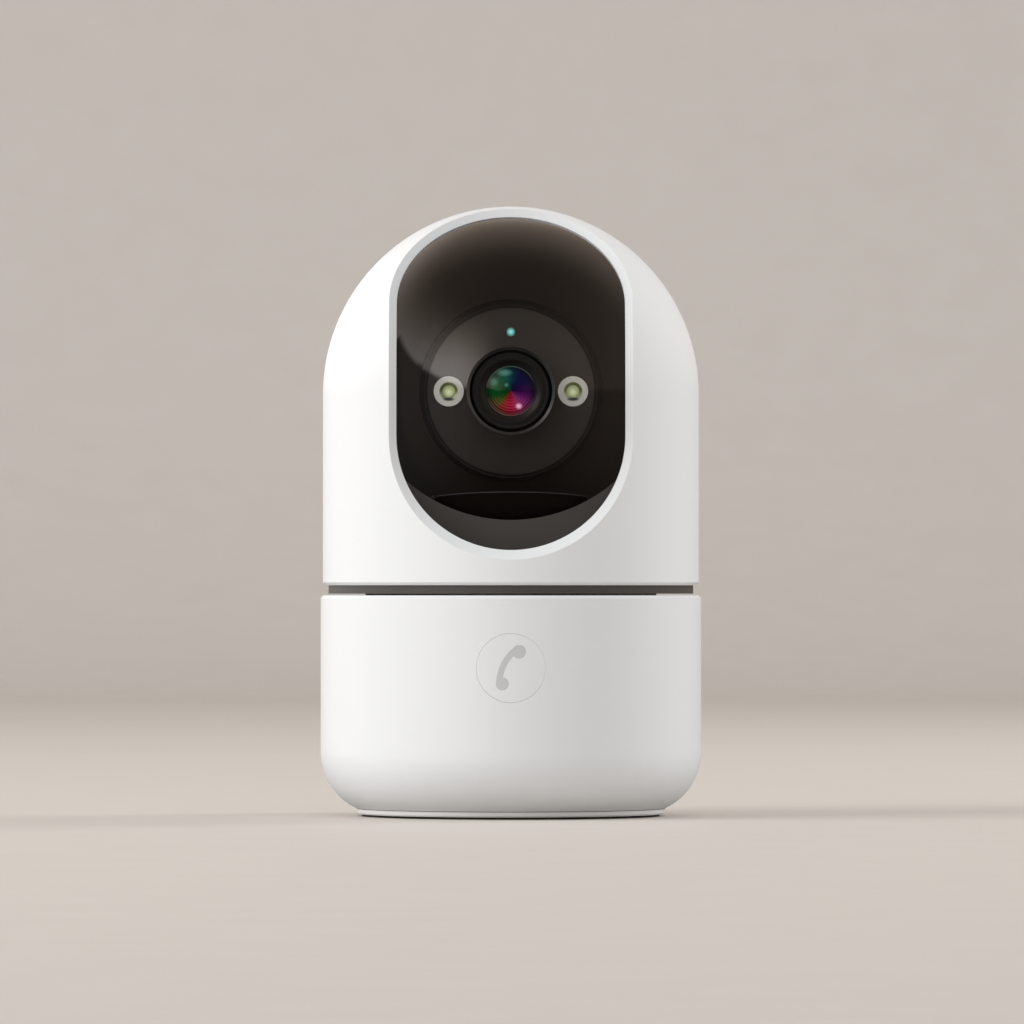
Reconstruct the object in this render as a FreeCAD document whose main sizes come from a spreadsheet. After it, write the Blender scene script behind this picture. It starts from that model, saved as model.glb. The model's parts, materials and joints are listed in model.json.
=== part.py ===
import FreeCAD, Part

# Indoor pan-and-tilt security camera: a round base, a domed head that pans on it and a lens ball that tilts.
#
# Frame: origin on the table under the middle of the base, +Z up, the lens looks along -Y at rest. Millimetres.
# The driving dimensions are in the spreadsheet "sizes"; every sub-part is bound to its cells.
import math
import operator
import os

import Sketcher
from fcgear import fcgear, involute

DRIVING = {
    # overall
    "base_radius": (34.0, "outside radius of the base"),
    "base_height": (39.4, "table to the top of the base"),
    "head_radius": (33.6, "outside radius of the head and of its dome"),
    "ball_rise": (2.55, "underside of the head to the lens ball"),
    "pan_gap": (1.8, "height of the dark band between base and head"),
    # walls
    "base_wall": (2.0, "wall of the base shell"),
    "deck_wall": (2.4, "top deck of the base"),
    "head_wall": (1.8, "wall of the head shells"),
    "ball_wall": (1.6, "wall of the lens ball"),
    # base
    "corner_radius": (11.0, "rounding at the bottom of the base"),
    "foot_inset": (6.4, "side of the base to the edge of the bottom cover"),
    "foot_land": (1.6, "flat lower edge of the base shell"),
    "rim_height": (1.0, "visible rim of the bottom cover"),
    "pad_stand": (0.4, "how far the rubber pad stands out"),
    "pad_width": (5.0, "width of the rubber pad"),
    "pad_inset": (1.0, "rubber pad to the edge of the bottom cover"),
    "cover_floor": (2.0, "bottom cover's spigot above its rim"),
    "edge_break": (0.5, "chamfer on the edges at the dark band"),
    "boss_inset": (4.1, "edge of the bottom cover to its screws"),
    "boss_radius": (2.6, "screw bosses of the base"),
    "insert_length": (5.6, "tripod insert"),
    "insert_radius": (4.6, "outside of the tripod insert"),
    "tripod_bore": (2.6, "minor radius of the 1/4 inch tripod thread"),
    # pan bearing and drive
    "neck_radius": (12.0, "turntable neck in its bush"),
    "neck_bore": (9.0, "cable way through the neck"),
    "seat_step": (1.2, "neck step that seats the pan gear"),
    "bush_wall": (1.6, "wall of the neck bush"),
    "run_gap": (0.05, "radial running clearance"),
    "band_inset": (1.0, "side of the head to the dark band"),
    "band_gap": (0.3, "clearance between base and turntable"),
    "glide_inner": (22.0, "glide ring, inner radius"),
    "glide_width": (4.0, "glide ring, width"),
    "glide_sink": (0.6, "depth of the glide ring's groove"),
    "spigot_height": (1.0, "turntable spigot inside the head"),
    "gear_module": (0.6, "module of the pan gears"),
    "wheel_teeth": (54, "teeth of the pan gear"),
    "pinion_teeth": (18, "teeth of the motor pinion"),
    "gear_width": (3.0, "face width of the pan gears"),
    "gear_gap": (0.4, "pan gear to the deck"),
    "mesh_gap": (0.12, "extra centre distance, for backlash"),
    "clip_thickness": (0.8, "retaining clip on the neck"),
    # stepper motors
    "motor_radius": (10.0, "motor can"),
    "motor_length": (15.0, "motor can"),
    "motor_offset": (6.2, "output shaft to the middle of the can"),
    "ear_reach": (3.0, "motor can to the middle of each mounting ear"),
    "ear_radius": (3.2, "mounting ears"),
    "ear_thickness": (0.8, "mounting ears"),
    "shaft_radius": (1.5, "pan motor shaft"),
    "tilt_shaft": (2.0, "tilt motor shaft"),
    "tilt_flat": (1.4, "half the width across the tilt shaft's flats"),
    # call button
    "button_drop": (12.7, "top of the base to the middle of the call button"),
    "button_radius": (6.0, "call button"),
    "button_gap": (0.1, "call button in its hole"),
    "button_lip": (1.2, "flange that keeps the call button in"),
    "button_travel": (0.5, "press of the call button"),
    "icon_depth": (0.3, "inlaid handset sign"),
    # boards in the base
    "board_thickness": (1.2, "circuit boards"),
    "board_height": (7.0, "table to the main board's underside"),
    "board_inset": (6.4, "inside of the base to the edge of the main board"),
    "post_inset": (6.6, "edge of the main board to its screws"),
    "port_width": (8.94, "power connector"),
    "port_height": (3.26, "power connector"),
    "port_length": (7.3, "power connector"),
    "speaker_radius": (10.0, "loudspeaker"),
    "speaker_drop": (14.4, "top of the base to the middle of the loudspeaker"),
    "grille_pitch": (2.3, "between rings of the speaker holes"),
    "grille_hole": (0.6, "radius of a speaker hole"),
    # head
    "slot_half": (20.15, "half the width of the head's slot"),
    "slot_drop": (7.8, "tilt axis to the middle of the slot's lower end"),
    "slot_angle": (38.5, "elevation of the slot's upper end"),
    "slot_chamfer": (1.7, "bevel round the slot"),
    "seam_depth": (6.0, "seam between the head shells, behind the axis"),
    "seam_gap": (0.12, "gap at the seams"),
    "arm_gap": (0.6, "ball to the yoke arms"),
    "arm_thickness": (4.0, "yoke arms"),
    "arm_half": (8.0, "half the width of a yoke arm"),
    "plate_thickness": (1.4, "yoke floor"),
    "guard_radius": (22.3, "edge of the dust guard, from the lens axis"),
    "guard_gap": (0.4, "ball to the dust guard"),
    "guard_dip": (0.3, "dust guard's edge below the lens ball's outline, in the middle"),
    "guard_arch": (28.1, "curve of the dust guard's edge"),
    "guard_wall": (1.2, "dust guard"),
    "guard_foot": (16.0, "width of the dust guard's foot"),
    "column_height": (8.0, "screw columns in the head shells"),
    "column_radius": (2.6, "screw columns in the head shells"),
    # lens ball
    "ball_gap": (0.25, "ball to the head shell"),
    "ball_half": (22.6, "half the width of the ball"),
    "ball_seam": (8.5, "seam of the ball, behind the axis"),
    "hub_radius": (5.0, "ball's drive-side hub"),
    "journal_radius": (4.0, "ball's free-side journal"),
    "journal_bore": (2.6, "cable way through the journal"),
    "window_radius": (16.0, "clear cover over the lens"),
    "window_wall": (1.4, "clear cover over the lens"),
    "window_seat": (1.33, "ledge that the clear cover sits on, round the lens plate"),
    "plate_wall": (1.0, "lens plate"),
    "barrel_radius": (6.9, "lens barrel's head"),
    "barrel_gap": (0.35, "lens barrel in the lens plate and in the clear cover's hole"),
    "barrel_depth": (6.53, "lens barrel's head, along the axis"),
    "thread_radius": (6.0, "lens barrel's thread"),
    "thread_length": (8.0, "lens barrel's thread"),
    "holder_land": (0.6, "lens holder's wall outside the barrel's head"),
    "board_hold": (0.55, "how far the lens holder reaches into the lamp board"),
    "glass_radius": (4.45, "front lens"),
    "lamp_spacing": (10.93, "lens axis to each lamp"),
    "lamp_radius": (2.65, "lamp reflector"),
    "light_rise": (10.45, "lens axis to the status light"),
    "light_radius": (0.75, "status light"),
    "card_angle": (80.0, "memory card slot, below the lens axis"),
    "card_width": (12.2, "memory card slot"),
    "card_height": (1.3, "memory card slot"),
    "reset_radius": (1.1, "reset button"),
    "reset_travel": (0.4, "press of the reset button"),
}


# ---------------------------------------------------------------- sizes that carry their expression

class Size:
    """A number together with the spreadsheet expression that it comes from."""

    def __init__(self, text, number):
        self.text = text
        self.number = float(number)

    def __add__(self, other):
        return combine(self, "+", other)

    def __radd__(self, other):
        return combine(other, "+", self)

    def __sub__(self, other):
        return combine(self, "-", other)

    def __rsub__(self, other):
        return combine(other, "-", self)

    def __mul__(self, other):
        return combine(self, "*", other)

    def __rmul__(self, other):
        return combine(other, "*", self)

    def __truediv__(self, other):
        return combine(self, "/", other)

    def __neg__(self):
        return combine(0, "-", self)


OPERATORS = {"+": operator.add, "-": operator.sub, "*": operator.mul, "/": operator.truediv}


def as_size(value):
    return value if isinstance(value, Size) else Size(f"({float(value)})", value)


def combine(first, sign, second):
    first, second = as_size(first), as_size(second)
    number = OPERATORS[sign](first.number, second.number)
    return Size(f"({first.text} {sign} {second.text})", number)


def root(size):
    return Size(f"sqrt({size.text})", math.sqrt(size.number))


def sine(degrees):
    return Size(f"sin({degrees.text})", math.sin(math.radians(degrees.number)))


def cosine(degrees):
    return Size(f"cos({degrees.text})", math.cos(math.radians(degrees.number)))


def leg(long_side, short_side):
    """The other leg of a right triangle."""
    return root(long_side * long_side - short_side * short_side)


doc = FreeCAD.newDocument("security_camera")
sheet = doc.addObject("Spreadsheet::Sheet", "sizes")


class Sizes:
    """The driving dimensions by name."""


d = Sizes()
for row, (alias, (value, note)) in enumerate(DRIVING.items(), start=1):
    sheet.set(f"A{row}", alias)
    sheet.set(f"B{row}", str(value))
    sheet.set(f"C{row}", note)
    sheet.setAlias(f"B{row}", alias)
    setattr(d, alias, Size(f"sizes.{alias}", value))
doc.recompute()

# ---------------------------------------------------------------- derived heights and radii

cover_top_rim = d.pad_stand + d.rim_height
shell_bottom = cover_top_rim
foot_radius = d.base_radius - d.foot_inset
boss_circle = foot_radius - d.boss_inset
foot_opening = foot_radius - d.foot_land
cover_top = cover_top_rim + d.cover_floor
corner_centre = d.base_radius - d.corner_radius
corner_height = shell_bottom + leg(d.corner_radius, foot_radius - corner_centre)
base_inside = d.base_radius - d.base_wall
button_height = d.base_height - d.button_drop
speaker_height = d.base_height - d.speaker_drop
deck_bottom = d.base_height - d.deck_wall

turntable_bottom = d.base_height + d.band_gap
head_bottom = d.base_height + d.pan_gap
spigot_top = head_bottom + d.spigot_height
head_inside = d.head_radius - d.head_wall
band_radius = d.head_radius - d.band_inset
ball_radius = head_inside - d.ball_gap
axis_height = head_bottom + d.ball_rise + ball_radius

gear_top = deck_bottom - d.gear_gap
gear_bottom = gear_top - d.gear_width
clip_bottom = gear_bottom - d.clip_thickness
seat_radius = d.neck_radius - d.seat_step
clip_groove = seat_radius - 0.8
pinion_x = d.gear_module * (d.wheel_teeth + d.pinion_teeth) / 2 + d.mesh_gap
motor_x = pinion_x - d.motor_offset
pan_motor_top = gear_bottom - 1.6

board_top = d.board_height + d.board_thickness
board_radius = base_inside - d.board_inset
post_circle = board_radius - d.post_inset
ear_spacing = (d.motor_radius + d.ear_reach) * 2
ball_inside = ball_radius - d.ball_wall
side_inside = d.ball_half - d.ball_wall
arm_inner = d.ball_half + d.arm_gap
arm_outer = arm_inner + d.arm_thickness

# The lens stack, as distances in front of the tilt axis.
disc_radius = d.window_radius - d.window_seat
window_back = leg(ball_radius - d.window_wall, d.window_radius)
plate_front = window_back - 0.1
plate_back = plate_front - d.plate_wall
lens_hole_radius = d.barrel_radius + d.barrel_gap
bevel_front = leg(ball_radius, lens_hole_radius + 0.5)
barrel_front = bevel_front - 0.5
barrel_shoulder = barrel_front - d.barrel_depth
thread_end = barrel_shoulder - d.thread_length
lamp_board_front = plate_back - 1.2
lamp_board_back = lamp_board_front - d.board_thickness
sensor_board_front = thread_end - 2.6
sensor_board_back = sensor_board_front - d.board_thickness
holder_outer = d.barrel_radius + d.holder_land
holder_front = lamp_board_back + d.board_hold

# ---------------------------------------------------------------- building blocks

TURNS = {
    "X": FreeCAD.Rotation(FreeCAD.Vector(0, 1, 0), 90),
    "Y": FreeCAD.Rotation(FreeCAD.Vector(1, 0, 0), -90),
    "Z": FreeCAD.Rotation(),
}
PARTS = []


def bind(obj, **sizes):
    """Ties properties of an object to spreadsheet expressions."""
    for name, size in sizes.items():
        obj.setExpression(name, as_size(size).text)
    return obj


def place(obj, x=0, y=0, z=0, turn=None):
    """Puts an object at a bound position with a fixed rotation."""
    obj.Placement = FreeCAD.Placement(FreeCAD.Vector(), turn or FreeCAD.Rotation())
    for letter, size in zip("xyz", (x, y, z)):
        obj.setExpression(f"Placement.Base.{letter}", as_size(size).text)
    return obj


def box(name, x, y, z):
    """A block given by its (low, high) spans."""
    obj = doc.addObject("Part::Box", name)
    spans = {"Length": x, "Width": y, "Height": z}
    bind(obj, **{side: high - low for side, (low, high) in spans.items()})
    return place(obj, x[0], y[0], z[0])


def along(axis, start, centre):
    """The point at a distance along an axis, with the two other coordinates given in X, Y, Z order."""
    point = list(centre)
    point.insert("XYZ".index(axis), start)
    return point


def cylinder(name, radius, axis, span, centre=(0, 0)):
    """A cylinder along an axis over a (low, high) span."""
    obj = doc.addObject("Part::Cylinder", name)
    bind(obj, Radius=radius, Height=as_size(span[1]) - span[0])
    return place(obj, *along(axis, span[0], centre), turn=TURNS[axis])


def cone(name, start_radius, end_radius, axis, span, centre=(0, 0)):
    obj = doc.addObject("Part::Cone", name)
    bind(obj, Radius1=start_radius, Radius2=end_radius, Height=as_size(span[1]) - span[0])
    return place(obj, *along(axis, span[0], centre), turn=TURNS[axis])


def sphere(name, radius, z, y=0):
    obj = doc.addObject("Part::Sphere", name)
    bind(obj, Radius=radius)
    return place(obj, 0, y, z)


def cut(name, base, *tools):
    obj = doc.addObject("Part::Cut", name)
    obj.Base = base
    obj.Tool = tools[0] if len(tools) == 1 else compound(name + "_tools", *tools)
    return obj


def fuse(name, *shapes):
    obj = doc.addObject("Part::MultiFuse", name)
    obj.Shapes = list(shapes)
    obj.Refine = True
    return obj


def common(name, *shapes):
    obj = doc.addObject("Part::MultiCommon", name)
    obj.Shapes = list(shapes)
    return obj


def compound(name, *shapes):
    obj = doc.addObject("Part::Compound", name)
    obj.Links = list(shapes)
    return obj


def tube(name, outer, inner, axis, span, centre=(0, 0)):
    return cut(
        name,
        cylinder(name + "_outside", outer, axis, span, centre),
        cylinder(name + "_bore", inner, axis, span, centre),
    )


def sub_part(obj, label=None):
    """Marks an object as a sub-part: its Label names its file."""
    obj.Label = label or obj.Name
    PARTS.append(obj)
    return obj


# ---------------------------------------------------------------- PartDesign helpers

def body(name):
    return doc.addObject("PartDesign::Body", name)


def sketch_on(owner, name, plane="XZ_Plane", lift=0, offset=0):
    """A sketch on one of its body's own planes: lift is along the plane's normal, offset along its vertical."""
    sketch = owner.newObject("Sketcher::SketchObject", name)
    support = next(f for f in owner.Origin.OriginFeatures if f.Role == plane)
    sketch.AttachmentSupport = [(support, "")]
    sketch.MapMode = "FlatFace"
    sketch.setExpression("AttachmentOffset.Base.z", as_size(lift).text)
    sketch.setExpression("AttachmentOffset.Base.y", as_size(offset).text)
    return sketch


def pin_point(sketch, geometry, end, point):
    """Holds one end of a line, or a circle's centre, at a bound place."""
    for value, kind, axis in zip(point, ("DistanceX", "DistanceY"), (-2, -1)):
        if isinstance(value, Size):
            index = sketch.addConstraint(Sketcher.Constraint(kind, -1, 1, geometry, end, value.number))
            sketch.setExpression(f"Constraints[{index}]", value.text)
        else:  # on an axis of the sketch
            sketch.addConstraint(Sketcher.Constraint("PointOnObject", geometry, end, axis))


def numbers(point):
    return FreeCAD.Vector(*[as_size(value).number for value in point], 0)


def arc_between(start, end, radius):
    """A minor arc: it turns left from start to end for a positive radius and right for a negative one."""
    middle = (start + end) * 0.5
    chord = end - start
    side = FreeCAD.Vector(-chord.y, chord.x, 0).normalize() * math.copysign(1, radius)
    centre = middle + side * math.sqrt(max(radius * radius - (chord.Length / 2) ** 2, 0))
    first = math.atan2(start.y - centre.y, start.x - centre.x)
    last = math.atan2(end.y - centre.y, end.x - centre.x)
    circle = Part.Circle(centre, FreeCAD.Vector(0, 0, 1), abs(radius))
    return Part.ArcOfCircle(circle, first, last) if radius > 0 else Part.ArcOfCircle(circle, last, first)


def outline(sketch, *corners):
    """A closed outline. A corner is (x, y), or (x, y, radius) when an arc leads to it from the one before:
    positive for a left turn. Every corner and radius is bound."""
    points = [numbers(corner[:2]) for corner in corners]
    ends = []
    for index, corner in enumerate(corners):
        start, end = points[index - 1], points[index]
        if len(corner) == 2:
            ends.append((sketch.addGeometry(Part.LineSegment(start, end), False), 1, 2, None))
        else:
            turn = as_size(corner[2])
            arc = sketch.addGeometry(arc_between(start, end, turn.number), False)
            ends.append((arc, 1, 2, turn) if turn.number > 0 else (arc, 2, 1, turn))
    for index, (geometry, _, last, turn) in enumerate(ends):
        following = ends[(index + 1) % len(ends)]
        sketch.addConstraint(Sketcher.Constraint("Coincident", geometry, last, following[0], following[1]))
        pin_point(sketch, geometry, last, corners[index][:2])
        if turn is not None:
            held = sketch.addConstraint(Sketcher.Constraint("Radius", geometry, abs(turn.number)))
            sketch.setExpression(f"Constraints[{held}]", f"abs({turn.text})")


def circle(sketch, radius, x=0, y=0):
    radius = as_size(radius)
    shape = Part.Circle(numbers((x, y)), FreeCAD.Vector(0, 0, 1), radius.number)
    geometry = sketch.addGeometry(shape, False)
    if x == 0 and y == 0:
        sketch.addConstraint(Sketcher.Constraint("Coincident", geometry, 3, -1, 1))
    else:
        pin_point(sketch, geometry, 3, (x, y))
    index = sketch.addConstraint(Sketcher.Constraint("Radius", geometry, radius.number))
    sketch.setExpression(f"Constraints[{index}]", radius.text)


def feature(owner, kind, name, sketch, **settings):
    made = owner.newObject("PartDesign::" + kind, name)
    made.Profile = sketch
    for setting, value in settings.items():
        if isinstance(value, Size):
            made.setExpression(setting, value.text)
        else:
            setattr(made, setting, value)
    return made


def revolve(owner, sketch, axis="V_Axis"):
    return feature(owner, "Revolution", sketch.Name + "_turned", sketch, ReferenceAxis=(sketch, [axis]), Angle=360)


def polar(owner, name, source, count):
    """Repeats a feature about the body's Z axis."""
    pattern = owner.newObject("PartDesign::PolarPattern", name)
    pattern.Originals = [source]
    pattern.Axis = (next(f for f in owner.Origin.OriginFeatures if f.Role == "Z_Axis"), [""])
    pattern.Angle = 360
    pattern.Occurrences = count
    owner.Tip = pattern
    return pattern


def edges_where(shape, test):
    """Names of the edges on which every sampled point passes the test."""
    names = []
    for index, edge in enumerate(shape.Edges, start=1):
        if not edge.Degenerated and all(test(point) for point in edge.discretize(5)):
            names.append(f"Edge{index}")
    return names


# ---------------------------------------------------------------- fasteners

def screw(name, shank, length, head, point, axis="Z", way=1):
    """A pan-head screw whose head sits on the plane at point; way is the side that the head is on."""
    at = point["XYZ".index(axis)]
    centre = [value for letter, value in zip("XYZ", point) if letter != axis]
    head_height = shank * 1.1

    def span(low, high):
        return (at + low, at + high) if way > 0 else (at - high, at - low)

    solid = fuse(
        name + "_blank",
        cylinder(name + "_shank", shank, axis, span(-length, 0), centre),
        cylinder(name + "_head", head, axis, span(0, head_height), centre),
    )
    arm, half = head * 0.62, shank * 0.22
    low, high = span(head_height * 0.35, head_height)
    bars = []
    for letter, reach in zip("ab", ((arm, half), (half, arm))):
        sides = [(value - size, value + size) for value, size in zip(centre, reach)]
        sides.insert("XYZ".index(axis), (low, high))
        bars.append(box(name + "_cross_" + letter, *sides))
    return cut(name, solid, *bars)


def screws(name, shank, length, head, points, axis="Z", way=1):
    return [
        screw(f"{name}_{number}", shank, length, head, point, axis, way)
        for number, point in enumerate(points, start=1)
    ]


def screw_set(name, *settings, **sides):
    return sub_part(compound(name, *screws(name, *settings, **sides)))


def ring_points(radius, z, angles):
    """Points on a circle about the pan axis."""
    turned = [Size(f"({angle})", angle) for angle in angles]
    return [(radius * cosine(angle), radius * sine(angle), z) for angle in turned]


BOTTOM_SCREW_ANGLES = (64.0, 184.0, 304.0)
MAIN_SCREW_ANGLES = (0.0, 120.0, 240.0)
HEAD_SCREW_ANGLES = (45.0, 135.0, 225.0, 315.0)
YOKE_SCREW_ANGLES = (50.0, 130.0, 230.0, 310.0)
SCREW_SHANK = as_size(0.95)
SCREW_HEAD = as_size(1.9)
PILOT_GAP = as_size(0.05)
SMALL_SHANK = as_size(0.7)
SMALL_HEAD = as_size(1.35)
BOARD_SCREW = as_size(4.5)


# ---------------------------------------------------------------- base

def make_base_shell():
    shell = body("base_cup")
    section = sketch_on(shell, "base_section")
    groove_outer = d.glide_inner + d.glide_width + d.run_gap
    groove_inner = d.glide_inner - d.run_gap
    groove_floor = d.base_height - d.glide_sink
    deck_hole = d.neck_radius + d.run_gap + d.bush_wall
    outline(
        section,
        (foot_opening, shell_bottom),
        (foot_radius, shell_bottom),
        (d.base_radius, corner_height, d.corner_radius),
        (d.base_radius, d.base_height - d.edge_break),
        (d.base_radius - d.edge_break, d.base_height),
        (groove_outer, d.base_height),
        (groove_outer, groove_floor),
        (groove_inner, groove_floor),
        (groove_inner, d.base_height),
        (deck_hole, d.base_height),
        (deck_hole, deck_bottom),
        (base_inside, deck_bottom),
        (base_inside, corner_height),
        (
            foot_opening,
            corner_height - leg(d.corner_radius - d.base_wall, foot_opening - corner_centre),
            -(d.corner_radius - d.base_wall),
        ),
    )
    revolve(shell, section)

    first = Size(f"({BOTTOM_SCREW_ANGLES[0]})", BOTTOM_SCREW_ANGLES[0])
    boss_x, boss_y = boss_circle * cosine(first), boss_circle * sine(first)
    boss = sketch_on(shell, "boss_outline", "XY_Plane", lift=deck_bottom)
    circle(boss, d.boss_radius, boss_x, boss_y)
    boss_pad = feature(shell, "Pad", "boss", boss, Length=deck_bottom - cover_top, Reversed=True)
    polar(shell, "bosses", boss_pad, len(BOTTOM_SCREW_ANGLES))
    pilot = sketch_on(shell, "pilot_outline", "XY_Plane", lift=cover_top)
    circle(pilot, SCREW_SHANK + PILOT_GAP, boss_x, boss_y)
    pilot_hole = feature(shell, "Pocket", "pilot", pilot, Length=as_size(9), Reversed=True)
    polar(shell, "pilots", pilot_hole, len(BOTTOM_SCREW_ANGLES))

    posts = sketch_on(shell, "motor_post_outline", "XY_Plane", lift=deck_bottom)
    holes = sketch_on(shell, "motor_post_holes", "XY_Plane", lift=pan_motor_top)
    for sign in (1, -1):
        circle(posts, as_size(2.2), motor_x, sign * (ear_spacing / 2))
        circle(holes, SCREW_SHANK + PILOT_GAP, motor_x, sign * (ear_spacing / 2))
    feature(shell, "Pad", "motor_posts", posts, Length=deck_bottom - pan_motor_top, Reversed=True)
    shell.Tip = feature(shell, "Pocket", "motor_pilots", holes, Length=as_size(4.5), Reversed=True)
    return shell


def grille_holes(reach):
    """Rings of speaker holes through the back wall."""
    holes = [cylinder("grille_hole_0", d.grille_hole, "Y", reach, (0, speaker_height))]
    for ring in (1, 2, 3):
        for step in range(6 * ring):
            angle = as_size(60.0 * step / ring)
            x = d.grille_pitch * ring * cosine(angle)
            z = speaker_height + d.grille_pitch * ring * sine(angle)
            holes.append(cylinder(f"grille_hole_{ring}_{step}", d.grille_hole, "Y", reach, (x, z)))
    return holes


def rounded_bar(name, half_width, half_height, span, x, z):
    """A bar along Y with round ends, for the power port and what it passes through."""
    middle = half_width - half_height
    return fuse(
        name,
        box(name + "_middle", (x - middle, x + middle), span, (z - half_height, z + half_height)),
        cylinder(name + "_left", half_height, "Y", span, (x - middle, z)),
        cylinder(name + "_right", half_height, "Y", span, (x + middle, z)),
    )


port_centre = board_top + d.port_height / 2
switch_face = base_inside - 4.0
button_board_front = switch_face - 3.5
button_board_back = button_board_front - d.board_thickness
button_post_x = d.button_radius + 3.4
SPEAKER_DEPTH = as_size(4.6)
collar_inner = d.speaker_radius + 0.1
collar_outer = d.speaker_radius + 1.5
speaker_front = leg(base_inside, collar_outer) - 0.6
speaker_back = speaker_front - SPEAKER_DEPTH


def finish_base_shell(cup):
    """Adds what is set across the wall: speaker collar, button posts, button hole, port and grille."""
    collar = common(
        "speaker_collar",
        tube("collar_tube", collar_outer, collar_inner, "Y", (speaker_back, d.base_radius), (0, speaker_height)),
        cylinder("collar_limit", d.base_radius - d.base_wall / 2, "Z", (0, d.base_height)),
    )
    post_root = leg(base_inside, button_post_x - 1.8) + 0.5
    posts = []
    pilots = []
    for side, sign in (("left", -1), ("right", 1)):
        spot = (sign * button_post_x, button_height)
        posts.append(cylinder(f"button_post_{side}", as_size(1.8), "Y", (-post_root, -button_board_front), spot))
        pilots.append(
            cylinder(
                f"button_post_pilot_{side}",
                SMALL_SHANK + PILOT_GAP,
                "Y",
                (-button_board_front - 4.0, -button_board_front),
                spot,
            )
        )
    back_reach = (base_inside - 4.0, d.base_radius + 1)
    port_reach = (leg(base_inside, d.port_width / 2) - 2.0, d.base_radius + 1)
    port_hole = rounded_bar(
        "port_hole", d.port_width / 2 + 0.25, d.port_height / 2 + 0.25, port_reach, as_size(0), port_centre
    )
    port_recess = rounded_bar(
        "port_recess", d.port_width / 2 + 1.6, d.port_height / 2 + 1.5,
        (d.base_radius - 0.9, d.base_radius + 1), as_size(0), port_centre,
    )
    button_hole = cylinder(
        "button_hole", d.button_radius + d.button_gap, "Y",
        (-d.base_radius - 1, -base_inside + 2.0), (0, button_height),
    )
    microphone_hole = cylinder(
        "microphone_hole", as_size(0.6), "Y", (base_inside - 6.0, d.base_radius + 1), (-microphone_x, microphone_z)
    )
    ear_space = (pan_motor_top - d.ear_thickness - 0.3, pan_motor_top)
    reliefs = [
        cylinder(f"ear_relief_{side}", d.ear_radius + 0.3, "Z", ear_space, (motor_x, sign * (ear_spacing / 2)))
        for side, sign in (("low", -1), ("high", 1))
    ]
    solid = fuse("base_shell_solid", cup, collar, *posts)
    tools = [button_hole, port_hole, port_recess, microphone_hole, *reliefs, *pilots, *grille_holes(back_reach)]
    return sub_part(cut("base_shell", solid, *tools))


def make_bottom_cover():
    cover = body("bottom_cover")
    section = sketch_on(cover, "cover_section")
    pad_outer = foot_radius - d.pad_inset
    pad_inner = pad_outer - d.pad_width
    insert_top = d.pad_stand + d.insert_length
    collar = d.insert_radius + 1.6
    outline(
        section,
        (d.insert_radius, d.pad_stand),
        (pad_inner, d.pad_stand),
        (pad_inner, d.pad_stand + PAD_SINK),
        (pad_outer, d.pad_stand + PAD_SINK),
        (pad_outer, d.pad_stand),
        (foot_radius - 0.25, d.pad_stand),
        (foot_radius, d.pad_stand + 0.25),
        (foot_radius, cover_top_rim - 0.1),
        (foot_opening - 0.1, cover_top_rim - 0.1),
        (foot_opening - 0.1, cover_top),
        (collar, cover_top),
        (collar, insert_top),
        (d.insert_radius, insert_top),
    )
    revolve(cover, section)
    post = sketch_on(cover, "board_post_outline", "XY_Plane", lift=cover_top)
    circle(post, as_size(2.2), post_circle, 0)
    post_pad = feature(cover, "Pad", "board_post", post, Length=d.board_height - cover_top)
    polar(cover, "board_posts", post_pad, len(MAIN_SCREW_ANGLES))
    pilot = sketch_on(cover, "board_pilot_outline", "XY_Plane", lift=d.board_height)
    circle(pilot, SMALL_SHANK + PILOT_GAP, post_circle, 0)
    pilot_hole = feature(cover, "Pocket", "board_pilot", pilot, Length=as_size(4))
    polar(cover, "board_pilots", pilot_hole, len(MAIN_SCREW_ANGLES))

    first = Size(f"({BOTTOM_SCREW_ANGLES[0]})", BOTTOM_SCREW_ANGLES[0])
    screw_x, screw_y = boss_circle * cosine(first), boss_circle * sine(first)
    through = sketch_on(cover, "cover_hole_outline", "XY_Plane", lift=d.pad_stand)
    circle(through, SCREW_SHANK + 0.15, screw_x, screw_y)
    hole = feature(cover, "Pocket", "cover_hole", through, Type="ThroughAll", Reversed=True)
    polar(cover, "cover_holes", hole, len(BOTTOM_SCREW_ANGLES))
    sink = sketch_on(cover, "cover_sink_outline", "XY_Plane", lift=d.pad_stand)
    circle(sink, SCREW_HEAD + 0.15, screw_x, screw_y)
    counterbore = feature(cover, "Pocket", "cover_sink", sink, Length=COVER_SINK, Reversed=True)
    polar(cover, "cover_sinks", counterbore, len(BOTTOM_SCREW_ANGLES))
    return sub_part(cover)


PAD_SINK = as_size(0.5)
COVER_SINK = as_size(1.9)
microphone_x = as_size(13.0)
microphone_z = board_top + 2.6


def make_foot():
    outer = foot_radius - d.pad_inset
    sub_part(tube("foot_pad", outer - 0.05, outer - d.pad_width + 0.05, "Z", (0, d.pad_stand + PAD_SINK)))
    insert = tube(
        "tripod_insert", d.insert_radius, d.tripod_bore, "Z", (d.pad_stand, d.pad_stand + d.insert_length)
    )
    sub_part(insert)
    bottom_screws = ring_points(boss_circle, d.pad_stand + COVER_SINK, BOTTOM_SCREW_ANGLES)
    screw_set("bottom_screws", SCREW_SHANK, as_size(7.0), SCREW_HEAD, bottom_screws, way=-1)


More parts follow.
